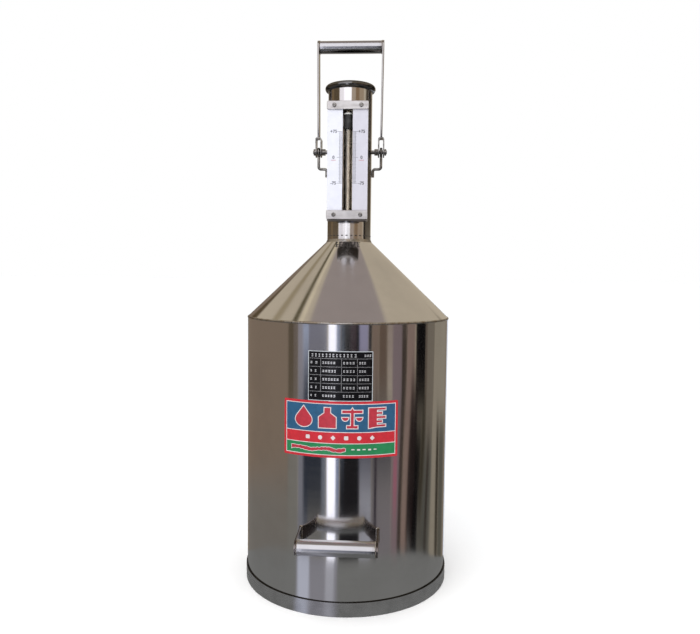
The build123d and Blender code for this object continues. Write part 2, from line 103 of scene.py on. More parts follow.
# ---- Node graphs ----
class Graph:
    """A short way to write a node tree."""

    def __init__(self, tree):
        self.nodes, self.links = tree.nodes, tree.links

    def node(self, kind, inputs=None, **settings):
        made = self.nodes.new(kind)
        for name, value in settings.items():
            setattr(made, name, value)
        for socket, value in (inputs or {}).items():
            self.feed(made.inputs[socket], value)
        return made

    def feed(self, socket, value):
        if isinstance(value, bpy.types.NodeSocket):
            self.links.new(value, socket)
        elif socket.type == "RGBA" and len(value) == 3:
            socket.default_value = (*value, 1)
        else:
            socket.default_value = value

    def math(self, operation, *values):
        made = self.node("ShaderNodeMath", operation=operation)
        for socket, value in zip(made.inputs, values):
            self.feed(socket, value)
        return made.outputs[0]

    def ramp(self, value, start, end, low=0.0, high=1.0):
        """value from start to end, mapped smoothly to low and high."""
        made = self.node("ShaderNodeMapRange", interpolation_type="SMOOTHSTEP")
        for name, number in (
            ("Value", value), ("From Min", start), ("From Max", end), ("To Min", low), ("To Max", high)
        ):
            self.feed(made.inputs[name], number)
        return made.outputs[0]

    def mix(self, share, first, second):
        made = self.node("ShaderNodeMix", data_type="RGBA")
        self.feed(made.inputs[0], share)
        self.feed(made.inputs[6], first)
        self.feed(made.inputs[7], second)
        return made.outputs[2]

    def noise(self, vector, scale, detail=3.0, roughness=0.5):
        inputs = {"Scale": scale, "Detail": detail, "Roughness": roughness}
        return self.node("ShaderNodeTexNoise", {"Vector": vector, **inputs}).outputs[0]

    def times(self, first, second):
        return self.math("MULTIPLY", first, second)

    def plus(self, first, second):
        return self.math("ADD", first, second)

    def window(self, value, start, end, soft):
        """One between start and end, with edges this soft either way, and zero outside."""
        leaving = self.ramp(value, end - soft, end + soft, 1.0, 0.0)
        return self.times(self.ramp(value, start - soft, start + soft), leaving)

    def scaled(self, place, *factors):
        return self.node("ShaderNodeVectorMath", {0: place, 1: factors}, operation="MULTIPLY").outputs[0]

    def blend(self, share, first, second):
        """A mix of two shader nodes."""
        made = self.node("ShaderNodeMixShader", {0: share})
        self.links.new(first.outputs[0], made.inputs[1])
        self.links.new(second.outputs[0], made.inputs[2])
        return made

    def finish(self, colour, roughness, height, strength, distance):
        """Feeds the shader's colour and roughness, and its bump from a height."""
        shader = self.nodes["Principled BSDF"]
        inputs = {"Height": height, "Strength": strength, "Distance": distance}
        self.feed(shader.inputs["Base Color"], colour)
        self.feed(shader.inputs["Roughness"], roughness)
        self.feed(shader.inputs["Normal"], self.node("ShaderNodeBump", inputs).outputs[0])


def shaded(tint, share):
    return tuple(v * share for v in tint)


def new_material(name, **sockets):
    """A Principled material with these constant values. Returns it, its graph and the place on it."""
    material = bpy.data.materials.new(name)
    material.use_nodes = True
    graph = Graph(material.node_tree)
    for socket, value in sockets.items():
        graph.feed(graph.nodes["Principled BSDF"].inputs[socket.replace("_", " ")], value)
    return material, graph, graph.node("ShaderNodeTexCoord").outputs["Object"]


def axes(graph, vector):
    """The x, y and z of a vector."""
    return tuple(graph.node("ShaderNodeSeparateXYZ", {0: vector}).outputs)


# ---- Materials ----
def polished_steel(name, about="Z", tint=(0.78, 0.775, 0.77), rough=0.12, stretch=0.6, marks=1.0, metal=1.0):
    """Bright steel, polished round an axis: reflections smear across the polishing lines."""
    material, graph, place = new_material(name, Metallic=metal, Anisotropic=stretch,
                                          Anisotropic_Rotation=0.25)
    if about == "Z":
        x, y, z = axes(graph, place)
        around = graph.math("ARCTAN2", x, graph.times(y, -1.0))
        round_body = graph.node("ShaderNodeCombineXYZ", {0: around, 2: z}).outputs[0]
        lines = graph.scaled(round_body, 1.5, 0.0, 900.0)
        bands = graph.scaled(round_body, 26.0, 0.0, 2.0)
    else:
        lines = graph.scaled(place, 900.0, 30.0, 30.0)
        bands = graph.scaled(place, 20.0, 160.0, 160.0)
    tangent = graph.node("ShaderNodeTangent", direction_type="RADIAL", axis=about)
    graph.links.new(tangent.outputs[0], graph.nodes["Principled BSDF"].inputs["Tangent"])
    fine = graph.noise(lines, 1.0, 4.0, 0.6)
    wide = graph.noise(bands, 1.0, 3.0, 0.55)
    smudge = graph.ramp(graph.noise(place, 14.0, 4.0, 0.6), 0.42, 0.72)
    colour = graph.mix(smudge, tint, shaded(tint, 0.93))
    colour = graph.mix(graph.ramp(fine, 0.35, 0.7, 0.0, 0.05), colour, shaded(tint, 0.8))
    worn = graph.ramp(fine, 0.3, 0.75, rough * 0.9, rough * 1.1)
    worn = graph.plus(worn, graph.ramp(smudge, 0.0, 1.0, 0.0, 0.03))
    graph.finish(colour, worn, graph.plus(wide, graph.times(fine, 0.004)), 0.25 * marks, 0.05 * MM)
    return material


def satin_steel(name, tint=(0.62, 0.61, 0.60), rough=0.34, grain=(900.0, 60.0, 900.0), crevice=None):
    """Steel with a brushed grain along one axis. Above the crevice height it is near black: a painted shadow
    in the groove there.
    """
    material, graph, place = new_material(name, Metallic=1.0)
    hair = graph.noise(graph.scaled(place, *grain), 1.0, 4.0, 0.6)
    cloud = graph.noise(place, 60.0, 3.0, 0.55)
    colour = graph.mix(graph.ramp(cloud, 0.35, 0.75), tint, shaded(tint, 0.82))
    if crevice:
        # painted shadow: near black above the crevice height, in the groove where the hoop meets the body
        groove_shadow = graph.ramp(axes(graph, place)[2], crevice - 0.3 * MM, crevice + 0.2 * MM)
        colour = graph.mix(groove_shadow, colour, (0.02, 0.018, 0.016))
    graph.finish(colour, graph.ramp(hair, 0.25, 0.75, rough * 0.8, rough * 1.25), hair, 0.1, 0.03 * MM)
    return material


def strap_steel(name):
    """The lower handle's arms: near black on their inner faces as painted shade, lighter on their outer
    faces, and dark on their upper and lower edge faces.
    """
    material, graph, place = new_material(name, Metallic=1.0)
    stain = graph.noise(place, 70.0, 4.0, 0.6)
    hair = graph.noise(graph.scaled(place, 90.0, 90.0, 1500.0), 1.0, 3.0, 0.6)
    facing = axes(graph, graph.node("ShaderNodeNewGeometry").outputs["Normal"])
    cut_edge = graph.ramp(graph.math("ABSOLUTE", facing[2]), 0.35, 0.8)
    outward = graph.times(facing[0], graph.math("SIGN", axes(graph, place)[0]))
    # painted shade: faces turned inwards, between the arms, are near black and outer faces lighter
    colour = graph.mix(graph.ramp(outward, -0.1, 0.2), (0.11, 0.09, 0.085), (0.46, 0.43, 0.41))
    # the upper and lower edge faces are darkened by their facing
    colour = graph.mix(cut_edge, colour, (0.10, 0.085, 0.08))
    graph.finish(colour, graph.ramp(stain, 0.3, 0.7, 0.16, 0.3), hair, 0.2, 0.02 * MM)
    return material


def channel_steel(name):
    """The gauge's channel: dull, and dark as painted shade in the gaps round the plates and glass, with a
    pale strip behind the glass that is a painted reflection.
    """
    material, graph, place = new_material(name, Metallic=1.0)
    x, y, z = axes(graph, place)
    cloud = graph.noise(place, 90.0, 4.0, 0.6)
    share = graph.ramp(cloud, 0.35, 0.7)
    # painted reflection: the pale strip on the channel's back behind the glass
    strip = 1.0
    for test, value, limit in (("GREATER_THAN", x, PALE_START), ("LESS_THAN", x, PALE_END),
                               ("LESS_THAN", y, CHANNEL_BACK), ("GREATER_THAN", z, CHANNEL_FLOOR)):
        strip = graph.times(strip, graph.math(test, value, limit))
    # painted shade: the channel is dark, and near black at its flanges beside the plates
    flange = graph.math("GREATER_THAN", graph.math("ABSOLUTE", x), CHANNEL_HIGH.x - 2.0 * MM)
    dark = graph.mix(flange, (0.10, 0.09, 0.08), graph.mix(share, (0.27, 0.245, 0.22), (0.19, 0.17, 0.15)))
    pale = graph.mix(share, (0.68, 0.58, 0.46), (0.60, 0.51, 0.40))
    colour = graph.mix(strip, dark, pale)
    graph.finish(colour, graph.ramp(cloud, 0.3, 0.7, 0.26, 0.36), cloud, 0.15, 0.04 * MM)
    return material


def weld_steel(name):
    """A dressed weld: slightly rippled, with straw-coloured heat tint."""
    material, graph, place = new_material(name, Metallic=1.0)
    ripple = graph.noise(place, 500.0, 3.0, 0.5)
    heat = graph.ramp(graph.noise(place, 90.0, 2.0, 0.5), 0.35, 0.7)
    colour = graph.mix(heat, (0.50, 0.48, 0.45), (0.36, 0.30, 0.23))
    graph.finish(colour, graph.ramp(ripple, 0.3, 0.7, 0.24, 0.42), ripple, 0.6, 0.2 * MM)
    return material


def fastener_steel(name, tint=(0.36, 0.35, 0.33)):
    """Plain turned steel with handling marks and darker patches."""
    material, graph, place = new_material(name, Metallic=1.0)
    rings = graph.noise(graph.scaled(place, 2600.0, 200.0, 200.0), 1.0, 3.0, 0.55)
    stain = graph.noise(place, 260.0, 4.0, 0.6)
    colour = graph.mix(graph.ramp(stain, 0.4, 0.68), tint, shaded(tint, 0.45))
    graph.finish(colour, graph.ramp(stain, 0.3, 0.75, 0.22, 0.45), rings, 0.3, 0.05 * MM)
    return material


def sight_glass(name):
    """Clear tube glass with faint water marks."""
    material, graph, place = new_material(name, Base_Color=(0.96, 0.965, 0.955), IOR=1.47,
                                          Transmission_Weight=1.0)
    marks = graph.noise(place, 220.0, 4.0, 0.6)
    graph.feed(graph.nodes["Principled BSDF"].inputs["Roughness"], graph.ramp(marks, 0.5, 0.8, 0.0, 0.07))
    return material


def seal_rubber(name):
    """Matt black rubber with a light bloom."""
    material, graph, place = new_material(name)
    bloom = graph.noise(place, 150.0, 4.0, 0.6)
    grain = graph.noise(place, 2200.0, 2.0, 0.5)
    colour = graph.mix(graph.ramp(bloom, 0.4, 0.75), (0.018, 0.018, 0.019), (0.05, 0.05, 0.05))
    graph.finish(colour, graph.ramp(bloom, 0.3, 0.7, 0.5, 0.7), grain, 0.4, 0.05 * MM)
    return material


def scale_enamel(name, tint):
    """White enamel, a little bluish, with faint mottling."""
    material, graph, place = new_material(name, Coat_Weight=0.25, Coat_Roughness=0.12)
    mottle = graph.noise(place, 120.0, 4.0, 0.6)
    peel = graph.noise(place, 900.0, 2.0, 0.5)
    colour = graph.mix(graph.ramp(mottle, 0.35, 0.75), tint, shaded(tint, 0.95))
    graph.finish(colour, graph.ramp(mottle, 0.3, 0.7, 0.28, 0.4), peel, 0.15, 0.03 * MM)
    return material


def printed_ink(name, tint, rough=0.4, gloss=0.1):
    """Ink or film in one colour, mottled by the print and the weather."""
    material, graph, place = new_material(name, Coat_Weight=gloss, Coat_Roughness=0.08)
    mottle = graph.noise(place, 160.0, 4.0, 0.65)
    dust = graph.noise(place, 1400.0, 2.0, 0.5)
    colour = graph.mix(graph.ramp(mottle, 0.35, 0.7), tint, shaded(tint, 0.84))
    graph.finish(colour, graph.ramp(dust, 0.3, 0.7, rough * 0.85, rough * 1.2), mottle, 0.12, 0.05 * MM)
    return material


def etched_black(name):
    """The nameplate's glossy black ground."""
    material, graph, place = new_material(name, Coat_Weight=0.1, Coat_Roughness=0.06, Specular_IOR_Level=0.25)
    speck = graph.noise(place, 700.0, 4.0, 0.6)
    colour = graph.mix(graph.ramp(speck, 0.55, 0.8), (0.002, 0.002, 0.003), (0.02, 0.02, 0.023))
    graph.finish(colour, graph.ramp(speck, 0.3, 0.7, 0.25, 0.4), speck, 0.1, 0.02 * MM)
    return material


def pale_floor(name):
    """A plain matt white sweep."""
    material, graph, place = new_material(name, Roughness=0.9, Specular_IOR_Level=0.0)
    soft = graph.noise(place, 6.0, 3.0, 0.5)
    colour = graph.mix(soft, (0.94, 0.94, 0.94), (0.96, 0.96, 0.96))
    graph.feed(graph.nodes["Principled BSDF"].inputs["Base Color"], colour)
    return material


STEEL_BODY = polished_steel("polished_steel_body", "Z", rough=0.11, stretch=0.7)
STEEL_NECK = polished_steel("polished_steel_neck", "Z", rough=0.13, stretch=0.6, marks=0.5)
STEEL_BAR = polished_steel("polished_steel_bar", "X", tint=(0.56, 0.56, 0.575), rough=0.2, stretch=0.4)
STEEL_LEG = polished_steel("polished_steel_leg", "X", tint=(0.48, 0.47, 0.46), rough=0.22, stretch=0.3)
STEEL_RIM = polished_steel("dark_steel_rim", "Z", tint=(0.17, 0.17, 0.165), rough=0.14, stretch=0.3)
# above the crevice height, by the groove at the body, the foot is darkened as a painted shadow
STEEL_FOOT = satin_steel("satin_steel_foot", (0.66, 0.66, 0.67), 0.26, (60.0, 60.0, 1200.0),
                         crevice=FOOT_HIGH.z - 0.7 * MM)
STEEL_SATIN = satin_steel("satin_steel_gauge", tint=(0.60, 0.58, 0.55))
STEEL_STRAP = strap_steel("lower_strap_steel")
STEEL_CHANNEL = channel_steel("channel_steel")
STEEL_CLAMP = satin_steel("satin_steel_clamp", (0.80, 0.79, 0.78), 0.42, (60.0, 900.0, 900.0))
STEEL_WELD = weld_steel("weld_steel")
STEEL_FASTENER = fastener_steel("fastener_steel")
STEEL_WIRE = fastener_steel("support_wire_steel", tint=(0.42, 0.41, 0.38))
GLASS = sight_glass("sight_glass")
RUBBER = seal_rubber("seal_rubber")
# one white enamel in a lighter copy for the left plate and a darker copy for the right: painted light and
# shade
ENAMEL = {
    "left": scale_enamel("scale_white_lit_left", (0.66, 0.67, 0.75)),
    "right": scale_enamel("scale_white_shaded_right", (0.52, 0.51, 0.58)),
}
INK_BLACK = printed_ink("ink_black", (0.02, 0.02, 0.025))
INK_RED = printed_ink("ink_red", (0.45, 0.05, 0.06))
ETCHED_BLACK = etched_black("nameplate_black")
ETCHED_LINE = polished_steel("nameplate_bright", tint=(0.62, 0.62, 0.64), rough=0.3, marks=0.5, metal=0.55)
PLATE_BORDER = printed_ink("nameplate_border", srgb(0.72, 0.74, 0.76), rough=0.35)
FILM_RED = printed_ink("film_red", (0.50, 0.006, 0.018))
FILM_WHITE = printed_ink("film_white", (0.62, 0.55, 0.56))
FILM_BLUE = printed_ink("film_blue", (0.010, 0.085, 0.185))
FILM_GREEN = printed_ink("film_green", (0.006, 0.20, 0.065))
FILM_GLYPH = printed_ink("film_glyph", (0.42, 0.016, 0.035))
# an opaque white band that stands for the glint on the sight tube's rim: painted highlight
GLASS_RIM_GLINT = scale_enamel("glass_end_painted_glint", (0.68, 0.68, 0.66))
ETCH_DARK = printed_ink("etched_mark", (0.035, 0.03, 0.028), rough=0.5, gloss=0.0)
FLOOR_WHITE = pale_floor("floor_white")


# ---- Mesh helpers ----
SHARPEST_SMOOTH_EDGE = math.radians(38)


def add_object(name, data):
    made = bpy.data.objects.new(name, data)
    scene.collection.objects.link(made)
    return made


def add_mesh(name, bm, material):
    """Turns a bmesh into an object in this material."""
    mesh = bpy.data.meshes.new(name)
    bm.to_mesh(mesh)
    bm.free()
    mesh.materials.append(material)
    return add_object(name, mesh)


def make_piece(name, bm, material, body="vessel", replaces=None):
    """Turns a bmesh into a smooth-shaded piece that rides on a body, and may replace a CAD node."""
    bmesh.ops.recalc_face_normals(bm, faces=bm.faces)
    for face in bm.faces:
        face.smooth = True
    for edge in bm.edges:
        edge.smooth = edge.calc_face_angle(0.0) < SHARPEST_SMOOTH_EDGE
    piece = add_mesh(name, bm, material)
    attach(piece, body)
    if replaces:
        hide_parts(replaces)


def lathe(profile, segments, relief=None):
    """A ring or tube turned about +Z from a closed profile of (radius, height), or with a third
    item at the places that the relief moves."""
    bm = bmesh.new()
    rows = []
    for step in range(segments):
        angle = 2 * math.pi * step / segments
        row = []
        for radius, height, *moved in profile:
            if moved:
                radius += relief(angle, height)
            row.append(bm.verts.new(polar(angle, radius, height)))
        rows.append(row)
    for here, there in zip(rows, rows[1:] + rows[:1]):
        join_loops(bm, here, there)
    return bm


def arc_points(centre, radius, start, end, steps):
    """Points on an arc in degrees, both ends included."""
    angles = [math.radians(start + (end - start) * i / steps) for i in range(steps + 1)]
    return [(centre[0] + radius * math.cos(a), centre[1] + radius * math.sin(a)) for a in angles]


def rounded_outline(width, height, corner, steps=6):
    """A rounded rectangle about the origin, as points."""
    points = []
    for sx, sy, start in ((1, 1, 0), (-1, 1, 90), (-1, -1, 180), (1, -1, 270)):
        centre = (sx * (width / 2 - corner), sy * (height / 2 - corner))
        points += arc_points(centre, corner, start, start + 90, steps)
    return points


def join_loops(bm, first, second):
    """A band of faces between two closed loops of vertices."""
    for i in range(len(first)):
        j = (i + 1) % len(first)
        bm.faces.new((first[i], first[j], second[j], second[i]))


def slab(bm, points, low, high, to_space):
    """A closed slab over an outline. to_space(u, v, depth) gives a point's place."""
    bottom = [bm.verts.new(to_space(u, v, low)) for u, v in points]
    top = [bm.verts.new(to_space(u, v, high)) for u, v in points]
    faces = [bm.faces.new(bottom[::-1]), bm.faces.new(top)]
    join_loops(bm, bottom, top)
    return faces


def strap(bm, stations, across, thickness, edge, steps=3):
    """A flat strap with rounded edges. Each station is (place, normal, half width)."""
    loops = []
    for place, normal, half_width in stations:
        if half_width > edge:
            outline = rounded_outline(2 * half_width, thickness, edge, steps)
        else:
            full = rounded_outline(2.002 * edge, thickness, edge, steps)
            outline = [(u * half_width / edge, v) for u, v in full]
        loops.append([bm.verts.new(place + across * u + normal * v) for u, v in outline])
    for first, second in zip(loops, loops[1:]):
        join_loops(bm, first, second)
    bm.faces.new(loops[0][::-1])
    bm.faces.new(loops[-1])


def bead(bm, path, radius, steps=8):
    """A round bead of this radius along a closed path of points."""
    rings = []
    for i, point in enumerate(path):
        along = (path[(i + 1) % len(path)] - path[i - 1]).normalized()
        side = along.orthogonal().normalized() if not rings else (side - along * side.dot(along)).normalized()
        over = along.cross(side)
        size = radius * (1 + 0.12 * noise.noise(point * 900))
        ring = []
        for k in range(steps):
            turn = 2 * math.pi * k / steps
            ring.append(bm.verts.new(point + size * (math.cos(turn) * side + math.sin(turn) * over)))
        rings.append(ring)
    for first, second in zip(rings, rings[1:] + rings[:1]):
        join_loops(bm, first, second)


# ---- Vessel ----
def sheet_relief(angle, height):
    """How far the rolled sheet departs from a true round: slow hollows, upright roll marks, a back seam."""
    flat = polar(angle)
    slow = noise.noise(flat * 2.2 + Vector((0, 0, height * 5.0)))
    rolls = noise.noise(flat * 13.0 + Vector((7.0, 0, height * 1.6)))
    from_seam = abs(math.remainder(angle - BACK, 2 * math.pi)) * BODY_RADIUS
    seam = max(0.0, 1 - (from_seam / (2.2 * MM)) ** 2)
    return 0.10 * MM * slow + 0.022 * MM * rolls + 0.14 * MM * seam


def dimples(depth, along, density):
    """A relief that sinks a surface by up to twice this depth."""
    return lambda angle, height: depth * (noise.noise(polar(angle, 1.0, height * along) * density) - 1)


def body_shell():
    """The cylinder's sheet, closed in thickness."""
    rows = 96
    low, high = BODY_LOW.z, BODY_HIGH.z
    profile = [(BODY_RADIUS, low)]
    profile += [(BODY_RADIUS, low + (high - low) * i / rows, True) for i in range(1, rows)]
    profile += [(BODY_RADIUS, high), (BODY_RADIUS - SHEET, high), (BODY_RADIUS - SHEET, low)]
    bm = lathe(profile, 480, sheet_relief)
    make_piece("body_sheet", bm, STEEL_BODY, replaces="body_shell")


def shoulder_cone():
    """The conical shoulder, with the same slow unevenness."""
    rows = 40
    profile = [(BODY_RADIUS, SHOULDER)]
    for i in range(1, rows):
        share = i / rows
        radius = BODY_RADIUS + (NECK_RADIUS - BODY_RADIUS) * share
        profile.append((radius, SHOULDER + (CONE_TOP - SHOULDER) * share, True))
    across = SHEET * math.hypot(1, CONE_SLOPE) / CONE_SLOPE
    inner_top = SHOULDER + (BODY_RADIUS - across - NECK_RADIUS + SHEET) * CONE_SLOPE
    profile += [(NECK_RADIUS, CONE_TOP), (NECK_RADIUS - SHEET, CONE_TOP), (NECK_RADIUS - SHEET, inner_top)]
    profile.append((BODY_RADIUS - across, SHOULDER))

    def relief(angle, height):
        share = (CONE_TOP - height) / (CONE_TOP - SHOULDER)
        return sheet_relief(angle, height) * (0.3 + 0.7 * share)

    bm = lathe(profile, 360, relief)
    make_piece("shoulder_sheet", bm, STEEL_BODY, replaces="shoulder_cone")


def foot_hoop():
    """The foot's hoop, with a fine groove where it meets the body and rounded outer edges."""
    outer, inner = FOOT_HIGH.x, BODY_RADIUS
    low, high = FOOT_LOW.z, FOOT_HIGH.z
    edge, groove = 0.6 * MM, 0.75 * MM
    profile = [(inner, low)]
    profile += arc_points((outer - edge, low + edge), edge, -90, 0, 5)
    profile += [(outer, low + (high - low) * i / 6, True) for i in range(1, 6)]
    profile += arc_points((outer - edge, high - edge), edge, 0, 105, 6)
    profile += [(inner + groove * 0.4, high - groove), (inner, high - 1.6 * groove)]
    bm = lathe(profile, 360, dimples(0.03 * MM, 20, 5))
    make_piece("foot_hoop", bm, STEEL_FOOT, replaces="foot_ring")


def neck_spot_welds():
    """A ring of small dark spot welds just above the neck's seam."""
    bm = bmesh.new()
    count, size, height = 30, 0.95 * MM, CONE_TOP + 6.6 * MM
    for i in range(count):
        middle = 2 * math.pi * (i + 0.28) / count

        def to_space(u, v, depth, middle=middle):
            return polar(middle + u / NECK_RADIUS, NECK_RADIUS + depth, height + v)

        outline = [(1.7 * u, 0.75 * v) for u, v in arc_points((0, 0), size, 0, 345, 23)]
        slab(bm, outline, -0.1 * MM, 0.04 * MM, to_space)
    make_piece("neck_spot_welds", bm, ETCH_DARK)


def etched_cone_mark():
    """A generic etched mark on the front of the cone: rows of short bars round a small lozenge."""
    bm = bmesh.new()

    def on_cone(u, v, depth):
        """u goes round the cone and v down its slope from the neck, at this depth over the sheet."""
        slope = math.hypot(1, CONE_SLOPE)
        radius = NECK_RADIUS + v / slope + depth * CONE_SLOPE / slope
        height = CONE_TOP - v * CONE_SLOPE / slope + depth / slope
        return polar(-math.pi / 2 + u / (NECK_RADIUS + v / slope), radius, height)

    def bar(u, v, width, height):
        outline = [(u + a, v + b) for a, b in rounded_outline(width, height, 0.3 * MM, 2)]
        slab(bm, outline, -0.1 * MM, 0.05 * MM, on_cone)

    draw = random.Random(4)
    stroke = 1.4 * MM
    for i in range(7):
        u = (i - 3) * 4.7 * MM
        top, bottom = (2.0 + draw.random()) * MM, (12.6 + 1.4 * draw.random()) * MM
        bar(u + (draw.random() - 0.5) * 1.2 * MM, (top + bottom) / 2, stroke, bottom - top)
        for j in range(3):
            v = top + (bottom - top) * (0.12 + 0.36 * j + 0.08 * draw.random())
            bar(u + (draw.random() - 0.5) * 0.8 * MM, v, (3.0 + 1.2 * draw.random()) * MM, 1.3 * stroke)
    lozenge = [(0, -3.4 * MM), (1.8 * MM, 0), (0, 3.4 * MM), (-1.8 * MM, 0)]
    slab(bm, [(u, v + 19.0 * MM) for u, v in lozenge], -0.1 * MM, 0.05 * MM, on_cone)
    for sign in (-1, 1):
        bar(sign * 4.6 * MM, 25.0 * MM, 3.4 * MM, 1.6 * MM)
    make_piece("cone_etched_mark", bm, ETCH_DARK)


# ---- Sight gauge ----
def front_space(depth_origin):
    """Places a flat drawing on a plane that faces the front: u to the right, v up, depth forwards."""
    def to_space(u, v, depth):
        return (u, depth_origin - depth, v)
    return to_space


def scale_plate(side):
    """One enamelled plate with rounded corners and a soft edge."""
    low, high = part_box(f"scale_plate_{side}")
    middle = (low + high) / 2
    bm = bmesh.new()
    outline = rounded_outline(high.x - low.x, high.z - low.z, 0.8 * MM, 5)
    outline = [(u + middle.x, v + middle.z) for u, v in outline]
    faces = slab(bm, outline, 0.0, high.y - low.y, front_space(high.y))
    rims = {edge for face in faces for edge in face.edges}
    bmesh.ops.bevel(bm, geom=list(rims), offset=0.15 * MM, segments=2, affect="EDGES")
    make_piece(f"scale_enamel_{side}", bm, ENAMEL[side], replaces=f"scale_plate_{side}")


ZERO_MARK = 546.0 * MM
ML_PER_MM = math.pi * (NECK_RADIUS / MM - 1.2) ** 2 / 1000
SCALE_SPAN_ML = 75.0
MARK_STEP_ML = 2.5
INK_HEIGHT = 0.03 * MM


def scale_marks(side, sign):
    """Graduations at the plate's inner edge, longer at every fourth and longest at the numbered ones."""
    inner = PLATE_LOW.x + 0.25 * MM
    bm = bmesh.new()
    place = front_space(PLATE_LOW.y)
    count = round(SCALE_SPAN_ML / MARK_STEP_ML)
    for i in range(-count, count + 1):
        height = ZERO_MARK + i * MARK_STEP_ML / ML_PER_MM * MM
        if i % count == 0:
            length, width = 6.6 * MM, 0.34 * MM
        elif i % 4 == 0:
            length, width = 4.4 * MM, 0.28 * MM
        else:
            length, width = 3.4 * MM, 0.24 * MM
        centre = sign * (inner + length / 2)
        outline = [(centre + u, height + v) for u, v in rounded_outline(length, width, 0.08 * MM, 1)]
        slab(bm, outline, -0.01 * MM, INK_HEIGHT, place)
    reach = SCALE_SPAN_ML / ML_PER_MM * MM
    outline = rounded_outline(0.2 * MM, 2 * reach, 0.08 * MM, 1)
    outline = [(sign * (inner + 3.5 * MM) + u, ZERO_MARK + v) for u, v in outline]
    slab(bm, outline, -0.01 * MM, INK_HEIGHT * 1.2, place)
    make_piece(f"scale_marks_{side}", bm, INK_BLACK)


def text_mesh(text, size, depth):
    """The built-in lettering as a mesh that stands in XZ and faces the front, centred on its place."""
    curve = bpy.data.curves.new("numeral", "FONT")
    curve.body = text
    curve.size = size
    curve.extrude = depth
    curve.offset = 0.11 * MM
    curve.align_x = "CENTER"
    curve.align_y = "CENTER"
    holder = add_object("numeral", curve)
    graph = bpy.context.evaluated_depsgraph_get()
    mesh = bpy.data.meshes.new_from_object(holder.evaluated_get(graph))
    bpy.data.objects.remove(holder)
    mesh.transform(Matrix.Rotation(math.pi / 2, 4, "X"))
    return mesh


def scale_numerals(side, sign):
    """The numbers beside the top, zero and bottom graduations."""
    bm = bmesh.new()
    reach = SCALE_SPAN_ML / ML_PER_MM * MM
    for text, rise in (("+75", reach), ("0", 0.0), ("-75", -reach)):
        mesh = text_mesh(text, 5.4 * MM, INK_HEIGHT)
        mesh.transform(Matrix.Translation((sign * (PLATE_LOW.x + 11.2 * MM), PLATE_LOW.y, ZERO_MARK + rise)))
        bm.from_mesh(mesh)
        bpy.data.meshes.remove(mesh)
    bmesh.ops.remove_doubles(bm, verts=bm.verts, dist=0.001 * MM)
    make_piece(f"scale_numerals_{side}", bm, INK_BLACK)


def zero_marker(side, sign):
    """A short red line under the zero."""
    bm = bmesh.new()
    centre = sign * (PLATE_LOW.x + 11.2 * MM)
    outline = rounded_outline(6.0 * MM, 0.5 * MM, 0.2 * MM, 2)
    slab(bm, [(centre + u, ZERO_MARK - 3.4 * MM + v) for u, v in outline], -0.01 * MM, INK_HEIGHT,
         front_space(PLATE_LOW.y))
    make_piece(f"zero_marker_{side}", bm, INK_RED)


def glass():
    """The sight tube, with fire-polished ends."""
    middle = (GLASS_LOW + GLASS_HIGH) / 2
    outer = (GLASS_HIGH.x - GLASS_LOW.x) / 2
    wall = 1.5 * MM
    inner = outer - wall
    centre = (outer + inner) / 2
    profile = arc_points((centre, GLASS_HIGH.z - wall / 2), wall / 2, 0, 180, 8)
    profile += arc_points((centre, GLASS_LOW.z + wall / 2), wall / 2, 180, 360, 8)
    bm = lathe(profile, 64)
    bmesh.ops.translate(bm, verts=bm.verts, vec=(middle.x, middle.y, 0))
    make_piece("sight_tube", bm, GLASS, replaces="glass_tube")


def glass_end_band():
    """A white band round the end of the sight tube, above the sleeve: a painted highlight on the glass rim.
    """
    middle = (GLASS_LOW + GLASS_HIGH) / 2
    inner, outer = (GLASS_HIGH.x - GLASS_LOW.x) / 2 + 0.02 * MM, (GLASS_HIGH.x - GLASS_LOW.x) / 2 + 0.2 * MM
    low, high = SLEEVE_HIGH.z + 0.5 * MM, SLEEVE_HIGH.z + 2.3 * MM
    ease = 0.08 * MM
    profile = [(inner, low), (outer - ease, low), (outer, low + ease),
               (outer, high - ease), (outer - ease, high), (inner, high)]
    bm = lathe(profile, 64)
    bmesh.ops.translate(bm, verts=bm.verts, vec=(middle.x, middle.y, 0))
    make_piece("sight_tube_end", bm, GLASS_RIM_GLINT)


# ---- Bail ----
def strap_end(half_width, centre, direction, steps=9):
    """Stations of a half-round strap end, where centre is the round's middle along the strap."""
    stations = []
    for i in range(steps + 1):
        turn = math.pi / 2 * i / steps
        along = centre + direction * half_width * math.sin(turn)
        stations.append((along, half_width * max(math.cos(turn), 0.02)))
    return stations


def bail_leg(side, sign):
    """A flat leg that widens from the clevis and ends in a half round over the grip."""
    low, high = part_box(f"bail_leg_{side}")
    thickness = 2.4 * MM
    half_width = (high.y - low.y) / 2
    foot_half = 7.0 * MM
    shoulder = low.z + 14.0 * MM
    grip_height = (GRIP_LOW.z + GRIP_HIGH.z) / 2
    inner_foot = min(abs(low.x), abs(high.x)) + thickness / 2
    inner_tip = max(abs(low.x), abs(high.x)) - thickness / 2
    stations = []
    line = [(low.z, foot_half), (low.z + 0.5 * MM, foot_half + 0.1 * MM)]
    line += [(shoulder + rise, half_width) for rise in (0.0, 20 * MM, 50 * MM)]
    for height, width in line + strap_end(half_width, grip_height, 1):
        share = (height - low.z) / (high.z - low.z)
        place = Vector((sign * (inner_foot + (inner_tip - inner_foot) * share), 0, height))
        stations.append((place, Vector((sign, 0, 0)), width))
    bm = bmesh.new()
    strap(bm, stations, Vector((0, 1, 0)), thickness, 0.55 * MM)
    make_piece(f"bail_strap_{side}", bm, STEEL_LEG, "bail", f"bail_leg_{side}")


